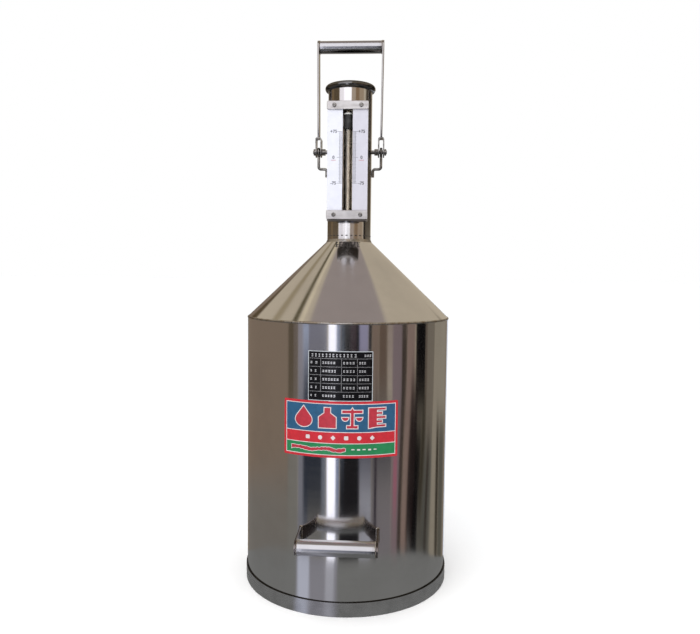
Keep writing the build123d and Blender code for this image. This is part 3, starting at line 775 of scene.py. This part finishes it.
def cross_tube(name, low, high, wall, body, node):
    """A grip tube along X, with eased ends."""
    radius = (high.z - low.z) / 2
    ease = 0.4 * MM
    half = (high.x - low.x) / 2
    profile = arc_points((radius - ease, half - ease), ease, 0, 90, 4)
    profile += [(radius - wall, half), (radius - wall, -half)]
    profile += arc_points((radius - ease, -half + ease), ease, -90, 0, 4)
    profile += [(radius, -half + 2 * half * i / 24, True) for i in range(2, 23)]
    bm = lathe(profile, 96, dimples(0.012 * MM, 60, 2))
    middle = (low + high) / 2
    bmesh.ops.rotate(bm, verts=bm.verts, matrix=Matrix.Rotation(math.pi / 2, 3, "Y"))
    bmesh.ops.translate(bm, verts=bm.verts, vec=middle)
    make_piece(name, bm, STEEL_BAR, body, node)


def grip_welds(name, centre, radius, half_length, body):
    """A weld bead round each end of a grip, against the legs or arms."""
    bm = bmesh.new()
    for sign in (-1, 1):
        path = []
        for i in range(64):
            turn = 2 * math.pi * i / 64
            reach = radius + 0.25 * MM + 0.12 * MM * noise.noise(polar(turn, 3, sign))
            path.append(centre + Vector((sign * half_length, reach * math.cos(turn), reach * math.sin(turn))))
        bead(bm, path, 0.45 * MM)
    for vertex in bm.verts:
        vertex.co.y = max(vertex.co.y, cad_low.y)
        vertex.co.z = min(vertex.co.z, cad_high.z)
    make_piece(name, bm, STEEL_WELD, body)


# ---- Lower handle ----
HANDLE_HEIGHT = (BRACKET_LOW.z + BRACKET_HIGH.z) / 2
HANDLE_HALF_STRAP = (BRACKET_HIGH.z - BRACKET_LOW.z) / 2
HANDLE_THICKNESS = 2.5 * MM
HANDLE_ARM = BRACKET_HIGH.x - HANDLE_THICKNESS / 2  # sideways distance of an arm's middle


def lower_arms():
    """The lower handle's two flat arms, straight out from the body, with half-round tips."""
    bm = bmesh.new()
    tube_y = (TUBE_LOW.y + TUBE_HIGH.y) / 2
    line = [(-BODY_RADIUS, HANDLE_HALF_STRAP)] + strap_end(HANDLE_HALF_STRAP, tube_y, -1)
    for sign in (-1, 1):
        outward = Vector((sign, 0, 0))
        stations = [(Vector((sign * HANDLE_ARM, y, HANDLE_HEIGHT)), outward, width) for y, width in line]
        strap(bm, stations, Vector((0, 0, 1)), HANDLE_THICKNESS, 0.5 * MM)
    for vertex in bm.verts:
        if vertex.co.y > -BODY_RADIUS - 0.1 * MM:
            vertex.co.y = -math.sqrt(BODY_RADIUS ** 2 - vertex.co.x ** 2)
    make_piece("lower_handle_arms", bm, STEEL_STRAP, replaces="lower_handle_bracket")


def arm_root(sign, grow):
    """The closed line round an arm's root on the body, this much outside the arm."""
    outline = rounded_outline(2 * (HANDLE_HALF_STRAP + grow), HANDLE_THICKNESS + 2 * grow, 1.2 * MM, 3)
    path = []
    for (height, side), (next_height, next_side) in zip(outline, outline[1:] + outline[:1]):
        pieces = max(1, round(math.hypot(next_height - height, next_side - side) / MM))
        for i in range(pieces):
            x = sign * HANDLE_ARM + side + (next_side - side) * i / pieces
            z = HANDLE_HEIGHT + height + (next_height - height) * i / pieces
            path.append(Vector((x, -math.sqrt((BODY_RADIUS + 0.2 * MM) ** 2 - x ** 2), z)))
    return path


def arm_welds():
    """Beads round the arms' roots, where they are welded to the body."""
    bm = bmesh.new()
    for sign in (-1, 1):
        bead(bm, arm_root(sign, 0.3 * MM), 0.7 * MM)
    make_piece("lower_handle_welds", bm, STEEL_WELD)


# ---- Labels on the body ----
def wrapped(bm, radius, step=2.0 * MM):
    """Cuts a flat drawing into upright strips and bends it round the body. Its y is the depth."""
    width = max(abs(v.co.x) for v in bm.verts)
    count = math.ceil(width / step)
    for i in range(-count, count + 1):
        geometry = bm.verts[:] + bm.edges[:] + bm.faces[:]
        bmesh.ops.bisect_plane(bm, geom=geometry, dist=0.0001 * MM, plane_co=(i * step, 0, 0),
                               plane_no=(1, 0, 0))
    for vert in bm.verts:
        angle = vert.co.x / radius
        reach = radius - vert.co.y
        vert.co = Vector((reach * math.sin(angle), -reach * math.cos(angle), vert.co.z))
    return bm


def flat_drawing(outlines, low, high):
    """Outlines of (u, v) points as closed slabs that face the front."""
    bm = bmesh.new()
    for outline in outlines:
        slab(bm, outline, low, high, front_space(0.0))
    return bm


def box_outline(left, right, bottom, top, corner=0.0):
    if corner:
        points = rounded_outline(right - left, top - bottom, corner, 4)
        return [((left + right) / 2 + u, (bottom + top) / 2 + v) for u, v in points]
    return [(left, bottom), (right, bottom), (right, top), (left, top)]


def frame_outlines(left, right, bottom, top, line):
    """Four bars that frame a box."""
    return [
        box_outline(left, right, top - line, top),
        box_outline(left, right, bottom, bottom + line),
        box_outline(left, left + line, bottom + line, top - line),
        box_outline(right - line, right, bottom + line, top - line),
    ]


def nameplate():
    """The black plate: a bright border, a header, five ruled rows and generic bars for its entries."""
    half = math.asin(NAMEPLATE_HIGH.x / (BODY_RADIUS + 0.5 * MM)) * BODY_RADIUS
    bottom, top = NAMEPLATE_LOW.z, NAMEPLATE_HIGH.z
    base = flat_drawing([box_outline(-half, half, bottom, top, 1.2 * MM)], 0.02 * MM, 0.38 * MM)
    make_piece("nameplate_ground", wrapped(base, BODY_RADIUS), ETCHED_BLACK,
               replaces="nameplate")

    line = 0.7 * MM
    border = flat_drawing(frame_outlines(-half, half, bottom, top, line), 0.3 * MM, 0.46 * MM)
    make_piece("nameplate_border", wrapped(border, BODY_RADIUS), PLATE_BORDER)
    shapes = []
    header = 8.6 * MM
    rows = 5
    row_height = (top - bottom - header - 1.2 * MM) / rows
    draw = random.Random(11)
    rule = 0.12 * MM  # half a ruled line's width
    columns = tuple(half * share for share in (-0.6, 0.04, 0.52))
    levels = [top - header - row * row_height for row in range(rows)]
    for level in levels:
        shapes.append(box_outline(-half + 2 * line, half - 2 * line, level - rule, level + rule))
    for level in levels[:-1]:
        for column in columns:
            shapes.append(box_outline(column - rule, column + rule, level - row_height + 0.6 * MM,
                                      level - 0.6 * MM))

    def entry(left, right, middle, tall, gap):
        """A row of small blocks, each a pair of short bars joined by an upright."""
        place = left
        while place < right - 0.8 * MM:
            width = (1.7 + 0.7 * draw.random()) * MM
            high = tall * (0.8 + 0.2 * draw.random())
            post = place + width * (0.2 + 0.6 * draw.random())
            for share in (-0.36, 0.3):
                level = middle + high * share
                shapes.append(box_outline(place, place + width, level - 0.4 * MM, level + 0.4 * MM))
            shapes.append(box_outline(post - 0.3 * MM, post + 0.3 * MM, middle - high / 2, middle + high / 2))
            place += width + gap

    entry(-half + 4 * MM, half - 18 * MM, top - header / 2 - 0.6 * MM, 4.2 * MM, 2.2 * MM)
    entry(half - 10 * MM, half - 3 * MM, top - header / 2 - 0.6 * MM, 3.0 * MM, 0.8 * MM)
    starts = (-half + 2.8 * MM,) + tuple(c + 2.0 * MM for c in columns)
    ends = tuple(c - 1.4 * MM for c in columns) + (half - 3.0 * MM,)
    for level in levels:
        for start, end, gap in zip(starts, ends, (3.6, 1.2, 1.6, 1.0)):
            reach = start + (end - start) * (0.6 + 0.4 * draw.random())
            entry(start, reach, level - 0.5 * row_height, 3.0 * MM, gap * MM)
    lines = flat_drawing(shapes, 0.3 * MM, 0.46 * MM)
    make_piece("nameplate_lines", wrapped(lines, BODY_RADIUS), ETCHED_LINE)


def drop_shape():
    """A water drop."""
    points = [(0.0, 1.0)]
    points += arc_points((0.0, -0.28), 0.68, 28, -208, 22)
    return [[(1.25 * u, v) for u, v in points]]


def can_shape():
    """A can with a cone and a neck."""
    return [[(-0.82, -0.95), (0.82, -0.95), (0.82, 0.05), (0.28, 0.45), (0.28, 0.95), (-0.28, 0.95),
             (-0.28, 0.45), (-0.82, 0.05)]]


def balance_shape():
    """A beam balance: post with a beam, and two pans."""
    post = [(-0.5, -0.95), (0.5, -0.95), (0.5, -0.72), (0.13, -0.72), (0.13, 0.5), (0.95, 0.5),
            (0.95, 0.74), (0.13, 0.74), (0.0, 0.95), (-0.13, 0.74), (-0.95, 0.74), (-0.95, 0.5),
            (-0.13, 0.5), (-0.13, -0.72), (-0.5, -0.72)]
    pans = [arc_points((sign * 0.66, 0.06), 0.3, 180, 360, 10) for sign in (-1, 1)]
    return [post] + pans


def ruler_shape():
    """A graduated column: an upright comb beside a bar."""
    points = [(-0.8, -0.95), (-0.8, 0.95), (-0.02, 0.95)]
    teeth = 5
    for i in range(teeth):
        top = 0.95 - i * 0.4
        reach = 0.85 if i % 2 == 0 else 0.5
        points += [(reach, top), (reach, top - 0.18)]
        if i < teeth - 1:
            points += [(-0.02, top - 0.18), (-0.02, top - 0.4)]
    points.append((-0.02, 0.95 - (teeth - 1) * 0.4 - 0.18))
    return [points]


def grown(outline, amount):
    """An outline moved outwards by an amount, corners mitred."""
    count = len(outline)
    area = sum(outline[i][0] * outline[(i + 1) % count][1] - outline[(i + 1) % count][0] * outline[i][1]
               for i in range(count))
    turn = 1 if area > 0 else -1
    moved = []
    for i in range(count):
        before, here, after = Vector(outline[i - 1]), Vector(outline[i]), Vector(outline[(i + 1) % count])
        first, second = (here - before).normalized(), (after - here).normalized()
        normals = [Vector((d.y, -d.x)) * turn for d in (first, second)]
        middle = (normals[0] + normals[1]).normalized()
        reach = amount / max(middle.dot(normals[0]), 0.55)
        moved.append(tuple(here + middle * reach))
    return moved


def front_label():
    """The film: a red ground, a white line, a blue panel with pictograms, a red band and a green band."""
    half = math.asin(LABEL_HIGH.x / (BODY_RADIUS + 0.25 * MM)) * BODY_RADIUS
    bottom, top = LABEL_LOW.z, LABEL_HIGH.z
    height = top - bottom

    def layer(name, outlines, material, level, replaces=None):
        low, high = (level - 0.6) * 0.035 * MM, level * 0.035 * MM
        bm = wrapped(flat_drawing(outlines, max(low, 0.005 * MM), high), BODY_RADIUS)
        make_piece(name, bm, material, replaces=replaces)

    layer("label_ground", [box_outline(-half, half, bottom, top, 1.0 * MM)], FILM_RED, 2, "front_label")
    inset, line = 2.8 * MM, 0.8 * MM
    left, right = -half + inset, half - inset
    low, high = bottom + inset, top - inset
    split_blue = bottom + 0.455 * height
    split_green = bottom + 0.255 * height
    white = frame_outlines(left, right, low, high, line)
    for level in (split_blue, split_green):
        white.append(box_outline(left + line, right - line, level - line / 2, level + line / 2))
    layer("label_lines", white, FILM_WHITE, 3)
    inside_left, inside_right = left + line, right - line
    layer("label_blue", [box_outline(inside_left, inside_right, split_blue + line / 2, high - line)],
          FILM_BLUE, 3.2)
    layer("label_green", [box_outline(inside_left, inside_right, low + line, split_green - line / 2)],
          FILM_GREEN, 3.2)

    middle = (split_blue + high) / 2
    size = (high - split_blue) / 2 * 0.74
    shapes = (drop_shape(), can_shape(), balance_shape(), ruler_shape())
    red, rims = [], []
    for i, outlines in enumerate(shapes):
        centre = 29.0 * MM * (i - 1.5)
        for outline in outlines:
            placed = [(centre + u * size, middle + v * size) for u, v in outline]
            red.append(placed)
            rims.append(grown(placed, 1.0 * MM))
    layer("label_pictogram_rims", rims, FILM_WHITE, 4.6)
    layer("label_pictograms", red, FILM_GLYPH, 5.6)

    band = (split_blue + split_green) / 2
    small = []
    for i in range(6):
        centre = (i - 2.5) * 15.2 * MM
        if i % 3 == 0:
            block = rounded_outline(5.0 * MM, 4.6 * MM, 1.0 * MM, 3)
            small.append([(centre + u, band + v) for u, v in block])
        elif i % 3 == 1:
            small.append(arc_points((centre, band), 2.5 * MM, 0, 345, 23))
        else:
            small.append([(centre - 2.9 * MM, band), (centre, band - 2.9 * MM), (centre + 2.9 * MM, band),
                          (centre, band + 2.9 * MM)])
    layer("label_small_icons", small, FILM_WHITE, 4.6)

    ribbon = (low + line + split_green - line / 2) / 2
    draw = random.Random(23)
    upper, lower = [], []
    for i in range(41):
        u = inside_left + 7 * MM + i / 40 * 66 * MM
        sway = 0.9 * MM * math.sin(i * 0.31) - 0.4 * MM
        upper.append((u, ribbon + sway + (1.3 + 1.3 * draw.random()) * MM))
        lower.append((u, ribbon + sway - (1.1 + 1.1 * draw.random()) * MM))
    swash = upper + lower[::-1]
    layer("label_swash_rim", [grown(swash, 0.6 * MM)], FILM_WHITE, 4.6)
    layer("label_swash", [swash], FILM_GLYPH, 5.6)
    tail = []
    for i in range(5):
        start = inside_left + (80 + 6.5 * i) * MM
        bottom = ribbon - (0.5 + 0.5 * (i % 2)) * MM
        tail.append(box_outline(start, start + 3.6 * MM, bottom, ribbon + 0.7 * MM, 0.3 * MM))
    layer("label_tail_bars", tail, FILM_WHITE, 4.6)


# ---- Finishes of the CAD nodes that stay ----
KEPT = {
    STEEL_FOOT: ["foot_flange"],
    STEEL_SATIN: ["floor_disc", "gauge_saddles", "level_port", "upper_block", "glass_clip"],
    # the lower block takes the channel's dark colour: painted shade under the lower clamp bar
    STEEL_CHANNEL: ["gauge_channel", "lower_block"],
    STEEL_WELD: ["shoulder_weld", "neck_weld"],
    STEEL_NECK: ["neck_tube"],
    STEEL_RIM: ["neck_rim"],
    RUBBER: ["foot_gasket", "upper_sleeve"],
    STEEL_CLAMP: ["lower_clamp_bar", "upper_clamp_bar"],
    STEEL_FASTENER: ["clamp_screws", "pivot_stud_left", "pivot_stud_right", "spacer_nuts", "lock_nuts",
                     "bail_clevis_left", "bail_clevis_right"],
    STEEL_WIRE: ["support_wire_left", "support_wire_right"],
}


def finish_cad_nodes():
    for material, names in KEPT.items():
        for name in names:
            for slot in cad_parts[name].material_slots:
                slot.material = material


# ---- Studio ----
def add_camera():
    """The camera: where it stands about the can's axis, its height and its small tilt and roll."""
    distance, height = 905.1 * MM, 402.6 * MM
    azimuth, yaw, pitch, roll = (math.radians(angle) for angle in (3.7, 0.153, 3.711, 0.607))
    data = bpy.data.cameras.new("camera")
    data.lens, data.sensor_width = 35, 36
    camera = add_object("camera", data)
    place = Vector((distance * math.sin(azimuth), -distance * math.cos(azimuth), height))
    heading = Matrix.Rotation(azimuth - yaw, 4, "Z")
    tilt = Matrix.Rotation(math.pi / 2 - pitch, 4, "X")
    camera.matrix_world = Matrix.Translation(place) @ heading @ tilt @ Matrix.Rotation(roll, 4, "Z")
    scene.camera = camera


def add_floor():
    """A plain wide floor, left out of the steel's reflections."""
    bm = bmesh.new()
    bmesh.ops.create_grid(bm, x_segments=24, y_segments=24, size=40.0)
    floor = add_mesh("floor", bm, FLOOR_WHITE)
    floor.visible_glossy = False


BENCH_HALF_WIDTH, BENCH_HALF_DEPTH, BENCH_SETBACK = 0.25, 0.19, 0.10
# Window light on the bench lies in streaks between two lines that run out from the body:
# each line is the angle round the body where it starts and its heading, in degrees.
BENCH_STREAKS = (
    ((-22.7, -53.5), (-1.0, -5.0), srgb(0.48, 0.475, 0.50)),
    ((-22.0, -52.0), (-15.6, -37.0), srgb(0.64, 0.65, 0.70)),
    ((-7.0, -18.0), (-2.6, -8.5), srgb(0.58, 0.58, 0.61)),
)


def beyond_line(graph, x, y, start, heading):
    """How far a place lies to the right of a line that leaves the body."""
    start, heading = math.radians(start), math.radians(heading)
    across = graph.plus(graph.times(x, math.cos(heading)), graph.times(y, math.sin(heading)))
    return graph.plus(across, BODY_RADIUS * math.sin(heading - start))


def add_bench():
    """An oval grey table top round the can, which only shows as a reflection in the steel."""
    material = bpy.data.materials.new("bench_grey")
    material.use_nodes = True
    graph = Graph(material.node_tree)
    graph.nodes.clear()
    place = graph.node("ShaderNodeTexCoord").outputs["Object"]
    x, y, _ = axes(graph, place)
    colour = graph.mix(graph.noise(place, 9.0), srgb(0.40, 0.40, 0.395), srgb(0.43, 0.43, 0.425))
    soft = 5.0 * MM
    for start, end, tint in BENCH_STREAKS:
        left, right = (beyond_line(graph, x, y, *side) for side in (start, end))
        share = graph.times(graph.ramp(left, -soft, soft), graph.ramp(right, -soft, soft, 1.0, 0.0))
        colour = graph.mix(share, colour, tint)
    # the table top glows with this colour instead of taking light: painted light, streaks of window light
    # included
    glow = graph.node("ShaderNodeEmission", {"Color": colour, "Strength": 1.28})
    out = graph.node("ShaderNodeOutputMaterial")
    graph.links.new(glow.outputs[0], out.inputs[0])
    bm = bmesh.new()
    bmesh.ops.create_circle(bm, cap_ends=True, segments=96, radius=1.0)
    bmesh.ops.scale(bm, verts=bm.verts, vec=(BENCH_HALF_WIDTH, BENCH_HALF_DEPTH, 1.0))
    bmesh.ops.translate(bm, verts=bm.verts, vec=(0, -BENCH_SETBACK, 0.2 * MM))
    bench = add_mesh("bench", bm, material)
    bench.visible_camera = False
    bench.visible_diffuse = False
    bench.visible_transmission = False
    bench.visible_shadow = False


def add_light(name, azimuth, elevation, distance, size, power, colour):
    """A soft rectangular light aimed at the can's middle, which the steel doesn't reflect."""
    data = bpy.data.lights.new(name, "AREA")
    data.shape = "RECTANGLE"
    data.size, data.size_y = size
    data.energy, data.color = power, colour
    light = add_object(name, data)
    a, e = math.radians(azimuth), math.radians(elevation)
    away = Vector((math.sin(a) * math.cos(e), -math.cos(a) * math.cos(e), math.sin(e)))
    middle = Vector((0, 0, 0.35))
    light.location = middle + away * distance
    light.rotation_euler = (-away).to_track_quat("-Z", "Y").to_euler()
    light.visible_camera = False
    light.visible_glossy = False


# What the steel reflects, by the azimuth seen from the can (0 is the front, positive to the right)
# and the elevation, both in degrees: (start, end, lowest, highest, softness, display colour).
# Bright windows have colours above one. Later rows lie over earlier ones.
ROOM = (
    # the plain wall at the left, paler near the floor, and its darker edge
    (-200, -62, -30, 22, 4, (0.445, 0.39, 0.34)),
    (-200, -62, -30, -17, 4, (0.41, 0.395, 0.375)),
    (-65, -57, -13, 2, 3, (0.31, 0.27, 0.22)),
    (-65, -52, -30, -13, 3, (0.42, 0.41, 0.39)),
    (-58, -52, -13, 2, 2, (0.37, 0.33, 0.30)),
    # curtain and dark window side
    (-52, -40, -30, 2, 2, (0.42, 0.42, 0.45)),
    (-52, -45, -9, 2, 2, (0.49, 0.475, 0.50)),
    (-46, -39, -7, 2, 3, (0.55, 0.58, 0.66)),
    (-45, -21, -21, -8, 5, (0.12, 0.14, 0.18)),
    (-40, -19, -8, 2, 2, (0.41, 0.41, 0.46)),
    (-24, -18, -21, -8, 3, (0.36, 0.38, 0.42)),
    # the bright gap of the window, and the blue light beside it
    (-17.5, -8.0, -40, 2, 1.6, (1.026, 1.026, 1.081)),
    (-8.5, -4.5, -21, 2, 1.5, (0.43, 0.47, 0.56)),
    # the dark opening that faces the can, with a pale streak in it
    (-4, 18, -30, 2, 2, (0.08, 0.075, 0.085)),
    (-4, 0, -16, 2, 2, (0.23, 0.25, 0.29)),
    (6, 13, -7.5, 2, 2, (0.22, 0.18, 0.20)),
    (16, 26, -9, 2, 3, (0.50, 0.49, 0.58)),
    (17, 31, -19, -9, 3, (0.24, 0.24, 0.28)),
    (18.5, 31, -30, -17.2, 2, (0.54, 0.54, 0.57)),
    (26, 30, -9, 2, 1.5, (0.10, 0.10, 0.11)),
    # shelves and a doorway at the right
    (30, 38, -11, 2, 2, (0.42, 0.36, 0.32)),
    (38, 48, -11, 2, 3, (0.33, 0.27, 0.23)),
    (31, 54, -18, -11, 3, (0.23, 0.23, 0.25)),
    (31, 54, -30, -17, 3, (0.41, 0.39, 0.40)),
    (34, 37, -30, -11, 2, (0.16, 0.14, 0.17)),
    (48, 55, -9, 2, 2, (0.51, 0.46, 0.43)),
    (54, 66, -30, 2, 3, (0.42, 0.37, 0.38)),
    (57, 62, -19, -14, 2, (0.55, 0.32, 0.38)),
    (65, 72, -30, 2, 2, (0.20, 0.17, 0.15)),
    (72, 84, -30, 2, 2, (0.46, 0.39, 0.36)),
    (85, 100, -12, 12, 1.5, (0.02, 0.015, 0.02)),
    (88, 97, -30, -12, 1.5, (0.02, 0.015, 0.02)),
    (79, 89, -23, -9, 2, (0.10, 0.07, 0.07)),
    (100, 106, -30, 2, 2, (0.30, 0.26, 0.23)),
    (97, 106, -30, -12, 2, (0.32, 0.31, 0.29)),
    (97, 113, -20, -11, 3, (0.18, 0.16, 0.12)),
    (103, 118, -30, 2, 4, (0.40, 0.37, 0.33)),
    (103, 126, -30, -14, 3, (0.29, 0.285, 0.265)),
    (109, 113, -30, -14, 2, (0.16, 0.13, 0.11)),
    (118, 200, -30, 2, 4, (0.50, 0.47, 0.42)),
    (126, 133, -24, -12, 3, (0.20, 0.18, 0.15)),
    (134, 200, -30, -12, 4, (0.31, 0.30, 0.27)),
    # behind the camera's far side: two tall windows with a dark gap, seen only from the back
    (150, 200, -30, 2, 14, (0.46, 0.42, 0.37)),
    (-200, -150, -30, 2, 14, (0.46, 0.42, 0.37)),
    (160, 171, -30, 2, 3, (0.80, 0.82, 0.86)),
    (172, 178, -30, 2, 3, (0.10, 0.09, 0.09)),
    (-175, -169, -30, 2, 3, (0.66, 0.63, 0.60)),
    (-167, -161, -30, 2, 4, (0.20, 0.18, 0.17)),
    # above the horizon: brown wall, the window's upper part, tan wall, dark post
    (-152, -56, 2, 22, 6, (0.30, 0.25, 0.18)),
    (-108, -92, 2, 22, 6, (0.40, 0.33, 0.24)),
    (-53, 10, 2, 62, 3, (1.029, 1.019, 1.04)),
    (-53, -30, 2, 62, 10, (0.90, 0.88, 0.90)),
    (9, 31, 2, 22, 5, (0.60, 0.54, 0.48)),
    (31, 52, 2, 22, 5, (0.46, 0.37, 0.28)),
    (52, 78, 2, 22, 5, (0.56, 0.49, 0.41)),
    (94, 152, 2, 22, 3, (0.25, 0.22, 0.18)),
    # the ceiling: its middle, then a dark beam with a bright edge at the left
    (-200, 200, 67, 100, 4, (0.535, 0.495, 0.48)),
    (-150, -96, 55.5, 59, 6, (0.30, 0.27, 0.19)),
    (-150, -96, 60, 63, 6, (0.74, 0.69, 0.60)),
    (-175, -120, 40, 46, 6, (0.54, 0.49, 0.40)),
)
CEILING = srgb(0.655, 0.61, 0.54)
LOW_FLOOR = srgb(0.42, 0.42, 0.42)
UNDER = srgb(0.20, 0.21, 0.20)


def add_world():
    """Plain white for the camera, soft even light for matt surfaces, and the room for reflections."""
    world = bpy.data.worlds.new("studio")
    scene.world = world
    world.use_nodes = True
    graph = Graph(world.node_tree)
    graph.nodes.clear()
    direction = graph.node("ShaderNodeTexCoord").outputs["Generated"]
    x, y, z = axes(graph, direction)
    degrees = 180 / math.pi
    azimuth = graph.times(graph.math("ARCTAN2", x, graph.times(y, -1.0)), degrees)
    elevation = graph.times(graph.math("ARCSINE", z), degrees)
    # things at the right stand close, so they lean as the reflection drops
    lean = graph.times(graph.plus(elevation, 10.0), graph.ramp(azimuth, 52, 74, 0.0, 0.5))
    lean = graph.times(lean, graph.ramp(elevation, -10, -9, 1.0, 0.0))
    azimuth = graph.math("SUBTRACT", azimuth, graph.times(lean, graph.ramp(azimuth, 112, 130, 1.0, 0.0)))
    sway = graph.math("SUBTRACT", graph.noise(direction, 7.0, 3.0, 0.55), 0.5)
    azimuth = graph.plus(azimuth, graph.times(sway, 4.0))
    colour = graph.mix(graph.noise(direction, 3.0, 3.0, 0.5), shaded(CEILING, 0.9), shaded(CEILING, 1.1))
    colour = graph.mix(graph.ramp(elevation, -24, -18, 1.0, 0.0), colour, LOW_FLOOR)
    colour = graph.mix(graph.ramp(elevation, -60, -40, 1.0, 0.0), colour, UNDER)
    for start, end, lowest, highest, soft, tint in ROOM:
        fade = min(2.0, (highest - lowest) / 3)
        sideways = graph.window(azimuth, start, end, max(soft * 0.8, 1.0) / 2)
        upright = graph.window(elevation, lowest, highest, fade)
        colour = graph.mix(graph.times(sideways, upright), colour, srgb(*tint))
    rays = graph.node("ShaderNodeLightPath")
    room = graph.node("ShaderNodeBackground", {"Color": colour, "Strength": 1.28})
    plain = graph.node("ShaderNodeBackground", {"Color": (0.985, 0.99, 1.0), "Strength": 1.08})
    white = graph.node("ShaderNodeBackground", {"Color": (1.0, 1.0, 1.0), "Strength": 1.0})
    by_gloss = graph.blend(rays.outputs["Is Glossy Ray"], plain, room)
    by_camera = graph.blend(rays.outputs["Is Camera Ray"], by_gloss, white)
    out = graph.node("ShaderNodeOutputWorld")
    graph.links.new(by_camera.outputs[0], out.inputs[0])


# ---- Build ----
add_camera()
add_world()
add_floor()
add_bench()
add_light("key", -28, 52, 1.9, (1.3, 1.0), 14, (1.0, 0.99, 0.97))
add_light("fill", 55, 40, 2.2, (1.2, 1.2), 6, (0.96, 0.98, 1.0))

body_shell()
shoulder_cone()
foot_hoop()
neck_spot_welds()
etched_cone_mark()
for side, sign in (("left", -1), ("right", 1)):
    scale_plate(side)
    scale_marks(side, sign)
    scale_numerals(side, sign)
    zero_marker(side, sign)
    bail_leg(side, sign)
glass()
glass_end_band()
cross_tube("bail_tube", GRIP_LOW, GRIP_HIGH, 1.2 * MM, "bail", "bail_grip")
grip_welds("bail_tube_welds", (GRIP_LOW + GRIP_HIGH) / 2, (GRIP_HIGH.z - GRIP_LOW.z) / 2,
           GRIP_HIGH.x - 0.6 * MM, "bail")
lower_arms()
cross_tube("lower_handle_tube", TUBE_LOW, TUBE_HIGH, 1.2 * MM, "vessel", "lower_handle_grip")
grip_welds("lower_tube_welds", (TUBE_LOW + TUBE_HIGH) / 2, (TUBE_HIGH.z - TUBE_LOW.z) / 2,
           TUBE_HIGH.x - 0.3 * MM, "vessel")
arm_welds()
nameplate()
front_label()
finish_cad_nodes()
